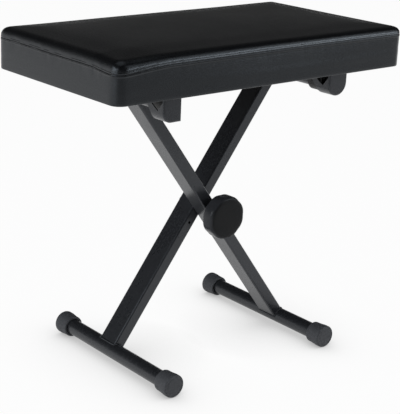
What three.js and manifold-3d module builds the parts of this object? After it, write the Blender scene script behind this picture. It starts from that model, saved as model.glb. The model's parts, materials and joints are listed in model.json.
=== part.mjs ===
// A folding keyboard bench: a padded seat on two tubular legs that cross at a clamp knob.
// Millimetres, +X along the seat, +Y to the back, +Z up, the floor at zero.
import * as THREE from 'three';
import { mergeVertices } from 'three/addons/utils/BufferGeometryUtils.js';
import Module from 'manifold-3d';

const wasm = await Module();
wasm.setup();

// Clearances
const FIT = 0.3; // left between two pieces that touch
const OVERRUN = 5; // how far a cutting tool passes a face
const WELD_REACH = 0.0001; // points nearer than this are one point

// Driving sizes of the stand
const FOOT_SPREAD = 319; // between the centre lines of the two foot bars
const FOOT_LENGTH = 296; // a foot bar over its two caps
const PIVOT_HEIGHT = 233; // the crossing of the legs over the floor
const TOP_BAR_HEIGHT = 442.5; // centre of the top bars over the floor

// Round tube of the foot bars and the top bars
const BAR_RADIUS = 12.7;
const BAR_WALL = 1.5;

// Rectangular tube of the legs
const LEG_WIDTH = 20; // across the leg, in the plane in which it folds
const LEG_DEPTH = 39.3; // along the bars
const LEG_WALL = 1.6;
const LEG_CORNER = 3;
const STOP_HOLE_RADIUS = 2.4; // small hole in the rear leg's front wall
const STOP_HOLE_DROP = 30; // below the pivot, along the leg

// Rubber caps on the foot bars
const FOOT_CAP_RADIUS = 18.5;
const FOOT_CAP_NECK = 17; // radius at the inner rim
const FOOT_CAP_LENGTH = 28;
const FOOT_CAP_END = 4;
const FOOT_CAP_BAND = 9; // straight band by the end face
const FOOT_CAP_ROUND = 2.4;

// Nylon caps on the top bars, which turn and slide in the brackets
const TOP_CAP_RADIUS = 17.2;
const TOP_CAP_LENGTH = 29;
const TOP_CAP_END = 3;
const TOP_CAP_ROUND = 1;
const TOP_CAP_SETBACK = 18; // from the bracket's front plate back to the cap

// Pressed brackets under the seat
const SHEET = 2;
const BRACKET_SETBACK = 17; // from the seat's long edge to the outer face of the front plate
const BRACKET_BEND = 3; // outer round between the front plate and the wall
const BRACKET_DEPTH = 56;
// Corners of a wall seen from its side, as shares of the bracket's depth behind the front plate
// and of its drop below the base plate: the slanting back edge, and the notch near the front plate.
const WALL_END_SHARES = [[1, 0], [0.63, 0.47], [0.53, 0.68], [0.5, 1]];
const WALL_NOTCH_SHARES = [[0.055, 0], [0.055, 0.2], [0.25, 0.56], [0.84, 0]];
const FLANGE = 16;
const HOOK_WALL_REACH = 31; // outer face of the hook's wall, from the top bar's centre
const HOOK_LIP_REACH = 1.5; // how far the hook's lip passes the top bar's centre
const HOOK_CORNER = 15;
const HOOK_PLATE_REACH = 32; // base plate past the top bar's centre, on the open side

// Screws that hold the brackets to the board
const SCREW_RADIUS = 2;
const SCREW_LENGTH = 11; // under the head, plate included
const SCREW_HEAD_RADIUS = 4.2;
const SCREW_HEAD_HEIGHT = 2.2;
const SCREW_HEAD_ROUND = 0.9;
const SCREW_FROM_REAR_EDGE = 10;

// Pivot bolt and its washers
const BOLT_RADIUS = 5;
const BOLT_FRONT = 68; // front end of the bolt, from the plane between the legs
const BOLT_CHAMFER = 1;
const BOLT_HEAD_RADIUS = 8; // low enough that the rear leg hides it in the photograph
const BOLT_HEAD_HEIGHT = 2;
const BOLT_HEAD_ROUND = 1.2;
const FRICTION_WASHER_RADIUS = 9.7;
const FRICTION_WASHER = 0.8;
const SLEEVE_WALL = 2.7;
const PRESSURE_WASHER_RADIUS = 15;
const PRESSURE_WASHER = 2.5;

// Clamp knob
const KNOB_RADIUS = 33.2;
const KNOB_DEPTH = 23.4; // without the boss behind it
const KNOB_BOSS_RADIUS = 13;
const KNOB_BOSS = 5.6;
const KNOB_ROUND = 3.4;
const KNOB_NOTCH = 1.1; // depth of the notches between the lobes of the rim
const KNOB_LOBES = 8;
const KNOB_CAP_EDGE = 0.5; // chamfer round the knob's cap
const INSERT_WALL = 2.8;
const INSERT_LENGTH = 22;
const KNOB_CAP_RADIUS = 19;
const KNOB_CAP = 2.6;
const KNOB_CAP_CROWN = 0.9;

// Seat
const SEAT_LENGTH = 560;
const SEAT_WIDTH = 306;
const SEAT_CORNER = 16;
const SEAT_HEIGHT = 66; // from the vinyl under the board to the middle of the top
const BOARD = 12;
const BOARD_EDGE_GAP = 5; // from the cover's outside to the board's edge
const VINYL = 1.2;
const VINYL_TURN_UNDER = 13; // how far the vinyl comes in under the board
const TOP_EDGE_ROUND = 12;
const BOTTOM_EDGE_ROUND = 2;
const CROWN = 3; // the middle of the top over its edge
const CROWN_REACH = 92; // from the seat's edge to the flat middle
const SIDE_DRAW = 3; // how far the sides pull in between the corners
const SEAM_DROP = 15.5; // seam under the top's edge
const SEAM_GROOVE = 1.1;
const SEAM_WIDTH = 3.2;
const SIDE_BULGE = 0.9; // how far the band swells between the seam and the board

// How finely round shapes are stepped
const BAR_STEPS = 32;
const CAP_STEPS = 36;
const SMALL_STEPS = 20;
const SCREW_STEPS = 12;
const BEND_STEPS = 8;
const LOBE_STEPS = 10;
const BRACKET_BEND_STEPS = 3;
const CORNER_STEPS = 4;
const CROWN_STEPS = 3;
const EDGE_STEPS = 4;
const LONG_SIDE_STEPS = 9;
const SHORT_SIDE_STEPS = 5;

// Places that follow from those sizes
const FOOT_HEIGHT = FOOT_CAP_RADIUS * Math.cos(Math.PI / CAP_STEPS); // a flat of the cap is down
const LEG_ANGLE = Math.atan2(PIVOT_HEIGHT - FOOT_HEIGHT, FOOT_SPREAD / 2);
const TOP_REACH = (TOP_BAR_HEIGHT - PIVOT_HEIGHT) / Math.tan(LEG_ANGLE);
const LOWER_LEG = Math.hypot(FOOT_SPREAD / 2, PIVOT_HEIGHT - FOOT_HEIGHT);
const UPPER_LEG = Math.hypot(TOP_REACH, TOP_BAR_HEIGHT - PIVOT_HEIGHT);
const LEG_FACE = FRICTION_WASHER / 2 + FIT; // inner face of a leg, from the middle plane
const LEG_BACK = LEG_FACE + LEG_DEPTH;
const PIVOT_BORE = BOLT_RADIUS + FIT;
const SLEEVE_RADIUS = PIVOT_BORE + SLEEVE_WALL;
const PLATE_UNDERSIDE = TOP_BAR_HEIGHT + TOP_CAP_RADIUS + FIT;
const PLATE_TOP = PLATE_UNDERSIDE + SHEET;
const BOARD_BOTTOM = PLATE_TOP + FIT;
const SEAT_BOTTOM = BOARD_BOTTOM - FIT - VINYL;
const BOARD_TOP = BOARD_BOTTOM + BOARD;
const SEAT_TOP = SEAT_BOTTOM + SEAT_HEIGHT;
const BRACKET_FACE = SEAT_WIDTH / 2 - BRACKET_SETBACK; // from the middle of the seat
const SADDLE_RADIUS = TOP_CAP_RADIUS + FIT + SHEET;
const BRACKET_BOTTOM = TOP_BAR_HEIGHT - SADDLE_RADIUS;
const TOP_CAP_FACE = BRACKET_FACE - SHEET - TOP_CAP_SETBACK;
const TOP_BAR_END = TOP_CAP_FACE - TOP_CAP_END - FIT;
const FOOT_BAR_END = FOOT_LENGTH / 2 - FOOT_CAP_END - FIT;
const PRESSURE_FACE = LEG_BACK + FIT;
const KNOB_REAR = PRESSURE_FACE + PRESSURE_WASHER + FIT;

// Materials
function material(colour, roughness, metalness) {
  return new THREE.MeshStandardMaterial({ color: colour, roughness, metalness });
}

const VINYL_LOOK = material(0x1d1d20, 0.5, 0);
const FOAM_LOOK = material(0xd8cfa8, 0.95, 0);
const BOARD_LOOK = material(0x2c2621, 0.8, 0);
const COATED_LOOK = material(0x18181a, 0.45, 0.3);
const RUBBER_LOOK = material(0x2b2b2b, 0.85, 0);
const NYLON_LOOK = material(0x101010, 0.6, 0);
const ZINC_LOOK = material(0xb4b6b8, 0.35, 0.9);
const KNOB_LOOK = material(0x161616, 0.55, 0);
const BRASS_LOOK = material(0xb5924c, 0.35, 0.9);

const bench = new THREE.Group();
bench.name = 'folding_keyboard_bench';

// Adds one named piece to the bench.
function addPiece(name, geometry, look) {
  const mesh = new THREE.Mesh(closedBody(geometry), look);
  mesh.name = name;
  bench.add(mesh);
}

// Leaves out the triangles that shrank to a line when their points were joined.
function withoutSlivers(index) {
  const kept = [];
  for (let i = 0; i < index.length; i += 3) {
    const [a, b, c] = [index[i], index[i + 1], index[i + 2]];
    if (a !== b && b !== c && c !== a) {
      kept.push(a, b, c);
    }
  }
  return kept;
}

// Six times the volume inside the triangles, below zero where they face inwards.
function signedVolume(positions, index) {
  const corners = [new THREE.Vector3(), new THREE.Vector3(), new THREE.Vector3()];
  let sum = 0;
  for (let i = 0; i < index.length; i += 3) {
    corners.forEach((corner, k) => corner.fromBufferAttribute(positions, index[i + k]));
    sum += corners[0].dot(corners[1].clone().cross(corners[2]));
  }
  return sum;
}

// Joins a geometry's points into one closed body that faces out.
function closedBody(geometry) {
  const bare = new THREE.BufferGeometry();
  bare.setAttribute('position', geometry.getAttribute('position').clone());
  bare.setIndex(geometry.getIndex());
  const welded = mergeVertices(bare, WELD_REACH);
  const index = withoutSlivers(Array.from(welded.getIndex().array));
  if (signedVolume(welded.getAttribute('position'), index) < 0) {
    index.reverse();
  }
  welded.setIndex(index);
  welded.computeVertexNormals();
  return welded;
}

// Hands a geometry to the boolean library.
function toSolid(geometry) {
  const body = closedBody(geometry);
  const mesh = new wasm.Mesh({
    numProp: 3,
    vertProperties: new Float32Array(body.getAttribute('position').array),
    triVerts: new Uint32Array(body.getIndex().array),
  });
  return new wasm.Manifold(mesh);
}

// Takes a solid back from the boolean library.
function fromSolid(solid) {
  const mesh = solid.getMesh();
  const geometry = new THREE.BufferGeometry();
  geometry.setAttribute('position', new THREE.BufferAttribute(mesh.vertProperties, 3));
  geometry.setIndex(new THREE.BufferAttribute(mesh.triVerts, 1));
  return geometry;
}

function cut(geometry, tools) {
  let solid = toSolid(geometry);
  tools.forEach((tool) => {
    solid = solid.subtract(toSolid(tool));
  });
  return fromSolid(solid);
}

function join(geometries) {
  let solid = toSolid(geometries[0]);
  geometries.slice(1).forEach((geometry) => {
    solid = solid.add(toSolid(geometry));
  });
  return fromSolid(solid);
}

// A shape turned about the Y axis, from pairs of radius and Y, with a flat facing down.
function turned(profile, steps) {
  const points = profile.map(([radius, y]) => new THREE.Vector2(radius, y));
  const geometry = new THREE.LatheGeometry(points, steps);
  geometry.rotateY(Math.PI / steps);
  return geometry;
}

// A ring or washer about the Y axis.
function ring(inner, outer, from, to, steps) {
  return turned([[inner, from], [outer, from], [outer, to], [inner, to], [inner, from]], steps);
}

// A plain pin about the Y axis.
function pin(radius, from, to, steps) {
  return turned([[0, from], [radius, from], [radius, to], [0, to]], steps);
}

// A box between two corners.
function block(low, high) {
  const size = high.map((value, i) => value - low[i]);
  const geometry = new THREE.BoxGeometry(...size);
  geometry.translate(...low.map((value, i) => value + size[i] / 2));
  return geometry;
}

// An outline in X and Z, given a thickness from one Y to a greater one.
function slab(outline, from, to) {
  const geometry = new THREE.ExtrudeGeometry(outline, {
    depth: to - from,
    bevelEnabled: false,
    curveSegments: BEND_STEPS,
  });
  geometry.rotateX(Math.PI / 2);
  geometry.translate(0, to, 0);
  return geometry;
}

// A rectangle with round corners about the origin.
function roundRectangle(width, height, corner) {
  const [x, y] = [width / 2, height / 2];
  const shape = new THREE.Shape();
  shape.moveTo(-x + corner, -y);
  shape.lineTo(x - corner, -y);
  shape.absarc(x - corner, -y + corner, corner, -Math.PI / 2, 0, false);
  shape.lineTo(x, y - corner);
  shape.absarc(x - corner, y - corner, corner, 0, Math.PI / 2, false);
  shape.lineTo(-x + corner, y);
  shape.absarc(-x + corner, y - corner, corner, Math.PI / 2, Math.PI, false);
  shape.lineTo(-x, -y + corner);
  shape.absarc(-x + corner, -y + corner, corner, Math.PI, Math.PI * 3 / 2, false);
  shape.closePath();
  return shape;
}

// Legs

// A bar of the section of the leg, from its foot bar to its top bar, leaning by its angle.
function leaningBar(section, from, to) {
  const geometry = new THREE.ExtrudeGeometry(section, {
    depth: to - from,
    bevelEnabled: false,
    curveSegments: EDGE_STEPS,
  });
  geometry.translate(0, 0, from);
  geometry.rotateY(Math.PI / 2 - LEG_ANGLE);
  geometry.translate(0, 0, PIVOT_HEIGHT);
  return geometry;
}

// The room that a bar takes where the leg meets it.
function barRoom(x, z) {
  const reach = LEG_DEPTH + LEG_FACE + OVERRUN;
  const geometry = pin(BAR_RADIUS + FIT, -reach, reach, BAR_STEPS);
  geometry.translate(x, 0, z);
  return geometry;
}

// The rear leg leans to +X; the front leg is the same tube turned about the middle plane.
function legTube() {
  const outer = roundRectangle(LEG_WIDTH, LEG_DEPTH, LEG_CORNER);
  const inner = roundRectangle(
    LEG_WIDTH - LEG_WALL * 2,
    LEG_DEPTH - LEG_WALL * 2,
    Math.max(LEG_CORNER - LEG_WALL, FIT),
  );
  const tube = leaningBar(outer, -LOWER_LEG, UPPER_LEG);
  const hollow = leaningBar(inner, -LOWER_LEG - OVERRUN, UPPER_LEG + OVERRUN);
  const middle = LEG_FACE + LEG_DEPTH / 2;
  tube.translate(0, middle, 0);
  hollow.translate(0, middle, 0);
  const bore = pin(SLEEVE_RADIUS + FIT, LEG_FACE - OVERRUN, LEG_BACK + OVERRUN, BAR_STEPS);
  bore.translate(0, 0, PIVOT_HEIGHT);
  return cut(tube, [
    hollow,
    bore,
    barRoom(-FOOT_SPREAD / 2, FOOT_HEIGHT),
    barRoom(TOP_REACH, TOP_BAR_HEIGHT),
  ]);
}

// The small hole through the rear leg's front wall, just below the crossing.
function stopHole() {
  const hole = pin(STOP_HOLE_RADIUS, LEG_FACE - OVERRUN, LEG_FACE + LEG_WALL * 2, SCREW_STEPS);
  hole.translate(
    -STOP_HOLE_DROP * Math.cos(LEG_ANGLE),
    0,
    PIVOT_HEIGHT - STOP_HOLE_DROP * Math.sin(LEG_ANGLE),
  );
  return hole;
}

function crossBar(end) {
  return ring(BAR_RADIUS - BAR_WALL, BAR_RADIUS, -end, end, BAR_STEPS);
}

// A rubber cap that flares from its inner rim to the band on which the bench stands.
function footCap() {
  const face = FOOT_LENGTH / 2;
  const rim = face - FOOT_CAP_LENGTH;
  const bore = BAR_RADIUS + FIT;
  return turned([
    [0, face],
    [FOOT_CAP_RADIUS - FOOT_CAP_ROUND, face],
    [FOOT_CAP_RADIUS - FOOT_CAP_ROUND * (1 - Math.SQRT1_2), face - FOOT_CAP_ROUND * (1 - Math.SQRT1_2)],
    [FOOT_CAP_RADIUS, face - FOOT_CAP_ROUND],
    [FOOT_CAP_RADIUS, face - FOOT_CAP_BAND],
    [FOOT_CAP_NECK, rim + FOOT_CAP_ROUND],
    [FOOT_CAP_NECK - FOOT_CAP_ROUND / 2, rim],
    [bore, rim],
    [bore, face - FOOT_CAP_END],
    [0, face - FOOT_CAP_END],
  ], CAP_STEPS);
}

// A nylon cap that closes a top bar and turns in its bracket.
function topCap() {
  const rim = TOP_CAP_FACE - TOP_CAP_LENGTH;
  const bore = BAR_RADIUS + FIT;
  return turned([
    [0, TOP_CAP_FACE],
    [TOP_CAP_RADIUS - TOP_CAP_ROUND, TOP_CAP_FACE],
    [TOP_CAP_RADIUS, TOP_CAP_FACE - TOP_CAP_ROUND],
    [TOP_CAP_RADIUS, rim],
    [bore, rim],
    [bore, TOP_CAP_FACE - TOP_CAP_END],
    [0, TOP_CAP_FACE - TOP_CAP_END],
  ], CAP_STEPS);
}

// Turns a geometry that is at the back round to the front.
function toFront(geometry) {
  const turnedRound = geometry.clone();
  turnedRound.rotateX(Math.PI);
  return turnedRound;
}

// Adds a bar with its two caps, at a place in X and Z.
function addCappedBar(name, bar, cap, x, z, capLook) {
  const pieces = [
    [`${name}_bar`, bar, COATED_LOOK],
    [`${name}_cap_front`, toFront(cap), capLook],
    [`${name}_cap_back`, cap.clone(), capLook],
  ];
  pieces.forEach(([pieceName, geometry, look]) => {
    geometry.translate(x, 0, z);
    addPiece(pieceName, geometry, look);
  });
}

// The sleeve that keeps the clamped leg from being crushed.
function pivotSleeve() {
  const sleeve = ring(PIVOT_BORE, SLEEVE_RADIUS, LEG_FACE, LEG_BACK, SMALL_STEPS);
  sleeve.translate(0, 0, PIVOT_HEIGHT);
  return sleeve;
}

// Turns what was made for the rear leg half a turn about the upright axis.
function forFrontLeg(geometry) {
  const other = geometry.clone();
  other.rotateZ(Math.PI);
  return other;
}

function addLegs() {
  addPiece('rear_leg_tube', cut(legTube(), [stopHole()]), COATED_LOOK);
  addPiece('rear_leg_sleeve', pivotSleeve(), ZINC_LOOK);
  addPiece('front_leg_tube', forFrontLeg(legTube()), COATED_LOOK);
  addPiece('front_leg_sleeve', forFrontLeg(pivotSleeve()), ZINC_LOOK);
  const footX = FOOT_SPREAD / 2;
  addCappedBar('rear_foot', crossBar(FOOT_BAR_END), footCap(), -footX, FOOT_HEIGHT, RUBBER_LOOK);
  addCappedBar('front_foot', crossBar(FOOT_BAR_END), footCap(), footX, FOOT_HEIGHT, RUBBER_LOOK);
  addCappedBar('rear_top', crossBar(TOP_BAR_END), topCap(), TOP_REACH, TOP_BAR_HEIGHT, NYLON_LOOK);
  addCappedBar('front_top', crossBar(TOP_BAR_END), topCap(), -TOP_REACH, TOP_BAR_HEIGHT, NYLON_LOOK);
}

// Pivot and clamp

// The clamp bolt, whose low round head bears on the rear leg.
function pivotBolt() {
  const face = LEG_BACK + FIT;
  return turned([
    [0, face + BOLT_HEAD_HEIGHT],
    [BOLT_HEAD_RADIUS - BOLT_HEAD_ROUND * 2, face + BOLT_HEAD_HEIGHT],
    [BOLT_HEAD_RADIUS, face + BOLT_HEAD_HEIGHT - BOLT_HEAD_ROUND],
    [BOLT_HEAD_RADIUS, face],
    [BOLT_RADIUS, face],
    [BOLT_RADIUS, -BOLT_FRONT + BOLT_CHAMFER],
    [BOLT_RADIUS - BOLT_CHAMFER, -BOLT_FRONT],
    [0, -BOLT_FRONT],
  ], SMALL_STEPS);
}

// The knob's rim has broad lobes with shallow notches between them.
function rimRadius(radius, notched, angle) {
  const nearNotch = 1 - Math.abs(Math.cos((angle * KNOB_LOBES) / 2));
  return radius - notched * KNOB_NOTCH * nearNotch ** 2;
}

// Rows of the knob's wall as radius, distance from its rear and share of the notches' depth.
function knobRows() {
  const bore = PIVOT_BORE + INSERT_WALL + FIT;
  const face = KNOB_BOSS + KNOB_DEPTH;
  const recess = KNOB_CAP_RADIUS + FIT;
  const half = KNOB_ROUND * (1 - Math.SQRT1_2);
  return [
    [bore, 0, 0],
    [KNOB_BOSS_RADIUS, 0, 0],
    [KNOB_BOSS_RADIUS, KNOB_BOSS, 0],
    [KNOB_RADIUS - KNOB_ROUND, KNOB_BOSS, 0],
    [KNOB_RADIUS - half, KNOB_BOSS + half, 1 / 2],
    [KNOB_RADIUS, KNOB_BOSS + KNOB_ROUND, 1],
    [KNOB_RADIUS, face - KNOB_ROUND, 1],
    [KNOB_RADIUS - half, face - half, 1 / 2],
    [KNOB_RADIUS - KNOB_ROUND, face, 0],
    [recess + KNOB_CAP_EDGE, face, 0],
    [recess, face - KNOB_CAP_EDGE, 0],
    [recess, face - KNOB_CAP_EDGE - KNOB_CAP, 0],
    [bore, face - KNOB_CAP_EDGE - KNOB_CAP, 0],
  ];
}

// Closed rings of points, joined one to the next and the last to the first.
// Rows that rise are split on the other diagonal, so a wall's two faces bend alike.
function ringedTube(rings) {
  const count = rings[0].length;
  const positions = rings.flat().flatMap((point) => [point.x, point.y, point.z]);
  const index = [];
  rings.forEach((unused, row) => {
    const next = (row + 1) % rings.length;
    const rising = rings[next][0].z > rings[row][0].z;
    for (let i = 0; i < count; i += 1) {
      const [a, b] = [row * count + i, row * count + (i + 1) % count];
      const [c, d] = [next * count + i, next * count + (i + 1) % count];
      index.push(...(rising ? [a, b, c, b, d, c] : [a, b, d, a, d, c]));
    }
  });
  const geometry = new THREE.BufferGeometry();
  geometry.setAttribute('position', new THREE.Float32BufferAttribute(positions, 3));
  geometry.setIndex(index);
  return geometry;
}

function knobBody() {
  const steps = KNOB_LOBES * LOBE_STEPS;
  const rings = knobRows().map(([radius, depth, notched]) => {
    const points = [];
    for (let i = 0; i < steps; i += 1) {
      const angle = (i / steps) * Math.PI * 2;
      const reach = rimRadius(radius, notched, angle);
      points.push(new THREE.Vector3(Math.cos(angle) * reach, -KNOB_REAR - depth, Math.sin(angle) * reach));
    }
    return points;
  });
  return ringedTube(rings);
}

// The cover disc pressed into the knob's face.
function knobCap() {
  const back = -KNOB_REAR - KNOB_BOSS - KNOB_DEPTH + KNOB_CAP_EDGE + KNOB_CAP - FIT;
  const front = back - KNOB_CAP;
  return turned([
    [0, back],
    [KNOB_CAP_RADIUS, back],
    [KNOB_CAP_RADIUS, front + KNOB_CAP_CROWN],
    [KNOB_CAP_RADIUS - KNOB_CAP_CROWN, front],
    [0, front],
  ], CAP_STEPS);
}

// A washer round the bolt, between two places along it.
function boltWasher(radius, from, to, steps) {
  return ring(PIVOT_BORE, radius, from, to, steps);
}

function addPivot() {
  const half = FRICTION_WASHER / 2;
  const plateFace = -PRESSURE_FACE - PRESSURE_WASHER;
  const insertEnd = -KNOB_REAR - INSERT_LENGTH;
  const pieces = [
    ['pivot_bolt', pivotBolt(), ZINC_LOOK],
    ['friction_washer', boltWasher(FRICTION_WASHER_RADIUS, -half, half, SMALL_STEPS), NYLON_LOOK],
    ['pressure_washer', boltWasher(PRESSURE_WASHER_RADIUS, plateFace, -PRESSURE_FACE, CAP_STEPS), ZINC_LOOK],
    ['knob_body', knobBody(), KNOB_LOOK],
    ['knob_insert', boltWasher(PIVOT_BORE + INSERT_WALL, insertEnd, -KNOB_REAR, SMALL_STEPS), BRASS_LOOK],
    ['knob_cap', knobCap(), KNOB_LOOK],
  ];
  pieces.forEach(([name, geometry, look]) => {
    geometry.translate(0, 0, PIVOT_HEIGHT);
    addPiece(name, geometry, look);
  });
}

// Brackets, made for the back of the seat and turned over for the front

// The saddle's outline: straight sides and a half round under the top bar.
function saddleOutline(radius) {
  const shape = new THREE.Shape();
  shape.moveTo(TOP_REACH + radius, PLATE_TOP + OVERRUN);
  shape.lineTo(TOP_REACH - radius, PLATE_TOP + OVERRUN);
  shape.lineTo(TOP_REACH - radius, TOP_BAR_HEIGHT);
  shape.absarc(TOP_REACH, TOP_BAR_HEIGHT, radius, Math.PI, Math.PI * 2, false);
  shape.closePath();
  return shape;
}

// The hook's outline: a wall on the outer side, a round corner and a lip that ends square.
function hookOutline(inset, reach) {
  const wall = -TOP_REACH - HOOK_WALL_REACH + inset;
  const lip = BRACKET_BOTTOM + inset;
  const corner = HOOK_CORNER - inset;
  const shape = new THREE.Shape();
  shape.moveTo(-TOP_REACH + reach, PLATE_TOP + OVERRUN);
  shape.lineTo(wall, PLATE_TOP + OVERRUN);
  shape.lineTo(wall, lip + corner);
  shape.absarc(wall + corner, lip + corner, corner, Math.PI, Math.PI * 3 / 2, false);
  shape.lineTo(-TOP_REACH + reach, lip);
  shape.closePath();
  return shape;
}

// A slab whose edges are round at both ends, as a pressed cup's are at its face.
function roundedSlab(outline, from, to, round) {
  const geometry = new THREE.ExtrudeGeometry(outline, {
    depth: to - from - round * 2,
    bevelThickness: round,
    bevelSize: round,
    bevelOffset: -round,
    bevelSegments: BRACKET_BEND_STEPS,
    curveSegments: BEND_STEPS,
  });
  geometry.rotateX(Math.PI / 2);
  geometry.translate(0, to - round, 0);
  return geometry;
}

// All that a bracket's walls pass at the top and at the inner end.
function trimTools(from, to) {
  const inner = BRACKET_FACE - BRACKET_DEPTH;
  const reach = OVERRUN * 2 + BRACKET_BEND;
  return [
    block([from, inner - reach, PLATE_UNDERSIDE + SHEET / 2], [to, BRACKET_FACE + reach, PLATE_TOP + reach]),
    block([from, inner - reach, BRACKET_BOTTOM - reach], [to, inner, PLATE_TOP + reach]),
  ];
}

// A cutting tool that runs along X, from an outline in Y and Z.
function wallTool(corners, from, to) {
  const shape = new THREE.Shape(corners.map(([y, z]) => new THREE.Vector2(-y, z)));
  const tool = slab(shape, from, to);
  tool.rotateZ(-Math.PI / 2);
  return tool;
}

// What shapes a bracket's walls: their slanting back edge, and the notch near the front plate.
function wallTools(from, to) {
  const wallDrop = PLATE_UNDERSIDE - BRACKET_BOTTOM;
  const place = ([depth, drop]) => [
    BRACKET_FACE - depth * BRACKET_DEPTH,
    PLATE_UNDERSIDE - drop * wallDrop,
  ];
  const end = WALL_END_SHARES.map(place);
  const [behind, below] = [BRACKET_FACE - BRACKET_DEPTH - OVERRUN, BRACKET_BOTTOM - OVERRUN];
  end.push([end[end.length - 1][0], below], [behind, below], [behind, PLATE_UNDERSIDE]);
  return [end, WALL_NOTCH_SHARES.map(place)].map((corners) => wallTool(corners, from, to));
}

// A bracket: base plate, front plate and walls, with holes for its screws.
function bracket(outline, room, plateFrom, plateTo, screws) {
  const inner = BRACKET_FACE - BRACKET_DEPTH;
  const walls = roundedSlab(outline, inner - OVERRUN - BRACKET_BEND, BRACKET_FACE, BRACKET_BEND);
  const hollow = slab(room, inner - OVERRUN * 2 - BRACKET_BEND, BRACKET_FACE - SHEET);
  const [from, to] = [plateFrom - OVERRUN, plateTo + OVERRUN];
  const cup = cut(walls, [hollow, ...wallTools(from, to), ...trimTools(from, to)]);
  const plate = block([plateFrom, inner, PLATE_UNDERSIDE], [plateTo, BRACKET_FACE, PLATE_TOP]);
  return cut(join([plate, cup]), screws.map(([x, y]) => screwRoom(x, y)));
}

function screwRoom(x, y) {
  const room = pin(SCREW_RADIUS + FIT, -SCREW_LENGTH - OVERRUN, SCREW_LENGTH + OVERRUN, SCREW_STEPS);
  room.rotateX(Math.PI / 2);
  room.translate(x, y, PLATE_UNDERSIDE);
  return room;
}

// A pan-head screw, head down.
function bracketScrew(x, y) {
  const screw = turned([
    [0, -SCREW_HEAD_HEIGHT],
    [SCREW_HEAD_RADIUS - SCREW_HEAD_ROUND, -SCREW_HEAD_HEIGHT],
    [SCREW_HEAD_RADIUS, -SCREW_HEAD_HEIGHT + SCREW_HEAD_ROUND],
    [SCREW_HEAD_RADIUS, 0],
    [SCREW_RADIUS, 0],
    [SCREW_RADIUS, SCREW_LENGTH - SCREW_HEAD_ROUND],
    [SCREW_RADIUS / 2, SCREW_LENGTH],
    [0, SCREW_LENGTH],
  ], SCREW_STEPS);
  screw.rotateX(Math.PI / 2);
  screw.translate(x, y, PLATE_UNDERSIDE - FIT);
  return screw;
}

const SCREW_Y = BRACKET_FACE - BRACKET_DEPTH + SCREW_FROM_REAR_EDGE;
const SADDLE_SCREWS = [-1, 1].map((side) => [TOP_REACH + side * (SADDLE_RADIUS + FLANGE / 2), SCREW_Y]);
const HOOK_SCREWS = [
  [-TOP_REACH - HOOK_WALL_REACH - FLANGE / 2, SCREW_Y],
  [-TOP_REACH + HOOK_PLATE_REACH - FLANGE / 2, SCREW_Y],
];

function addBrackets() {
  const saddle = bracket(
    saddleOutline(SADDLE_RADIUS),
    saddleOutline(SADDLE_RADIUS - SHEET),
    TOP_REACH - SADDLE_RADIUS - FLANGE,
    TOP_REACH + SADDLE_RADIUS + FLANGE,
    SADDLE_SCREWS,
  );
  const hook = bracket(
    hookOutline(0, HOOK_LIP_REACH),
    hookOutline(SHEET, HOOK_LIP_REACH + OVERRUN),
    -TOP_REACH - HOOK_WALL_REACH - FLANGE,
    -TOP_REACH + HOOK_PLATE_REACH,
    HOOK_SCREWS,
  );
  [['right', 'saddle', saddle], ['left', 'hook', hook]].forEach(([side, kind, geometry]) => {
    const front = geometry.clone();
    front.scale(1, -1, 1);
    addPiece(`${side}_rear_${kind}`, geometry, COATED_LOOK);
    addPiece(`${side}_front_${kind}`, front, COATED_LOOK);
  });
}

function screwPlaces() {
  const rear = [...HOOK_SCREWS, ...SADDLE_SCREWS];
  return [...rear, ...rear.map(([x, y]) => [x, -y])];
}

function addScrews() {
  screwPlaces().forEach(([x, y], i) => {
    addPiece(`bracket_screw_${i + 1}`, bracketScrew(x, y), ZINC_LOOK);
  });
}

// Seat

// One side of the seat's outline, pulled in between its corners.
function sidePoints(from, to, inward, steps, draw) {
  const points = [];
  for (let i = 1; i < steps; i += 1) {
    const along = i / steps;
    const pull = draw * (1 - (2 * along - 1) ** 2);
    const point = from.clone().lerp(to, along);
    points.push(point.addScaledVector(inward, pull));
  }
  return points;
}

// The seat's outline at one height, as points that go once round.
function seatRing({ inset, z, draw }) {
  const corner = Math.max(SEAT_CORNER - inset, FIT * CORNER_STEPS);
  const x = SEAT_LENGTH / 2 - inset - corner;
  const y = SEAT_WIDTH / 2 - inset - corner;
  const centres = [[x, y], [-x, y], [-x, -y], [x, -y]];
  const arcs = centres.map(([cx, cy], k) => {
    const arc = [];
    for (let i = 0; i <= CORNER_STEPS; i += 1) {
      const angle = (k + i / CORNER_STEPS) * Math.PI / 2;
      arc.push(new THREE.Vector3(cx + Math.cos(angle) * corner, cy + Math.sin(angle) * corner, z));
    }
    return arc;
  });
  return arcs.flatMap((arc, k) => {
    const steps = k % 2 === 0 ? LONG_SIDE_STEPS : SHORT_SIDE_STEPS;
    const angle = (k + 1) * Math.PI / 2;
    const inward = new THREE.Vector3(-Math.cos(angle), -Math.sin(angle), 0);
    const next = arcs[(k + 1) % arcs.length];
    return [...arc, ...sidePoints(arc[arc.length - 1], next[0], inward, steps, draw)];
  });
}

// Rings joined one to the next, with a flat face on the first and on the last.
function ringedBody(rings) {
  const count = rings[0].length;
  const geometry = ringedTube(rings);
  const index = Array.from(geometry.getIndex().array).slice(0, (rings.length - 1) * count * 6);
  const last = (rings.length - 1) * count;
  const flat = (points) => THREE.ShapeUtils.triangulateShape(points.map((p) => new THREE.Vector2(p.x, p.y)), []);
  flat(rings[0]).forEach(([a, b, c]) => index.push(c, b, a));
  flat(rings[rings.length - 1]).forEach(([a, b, c]) => index.push(last + a, last + b, last + c));
  geometry.setIndex(index);
  return geometry;
}

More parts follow.
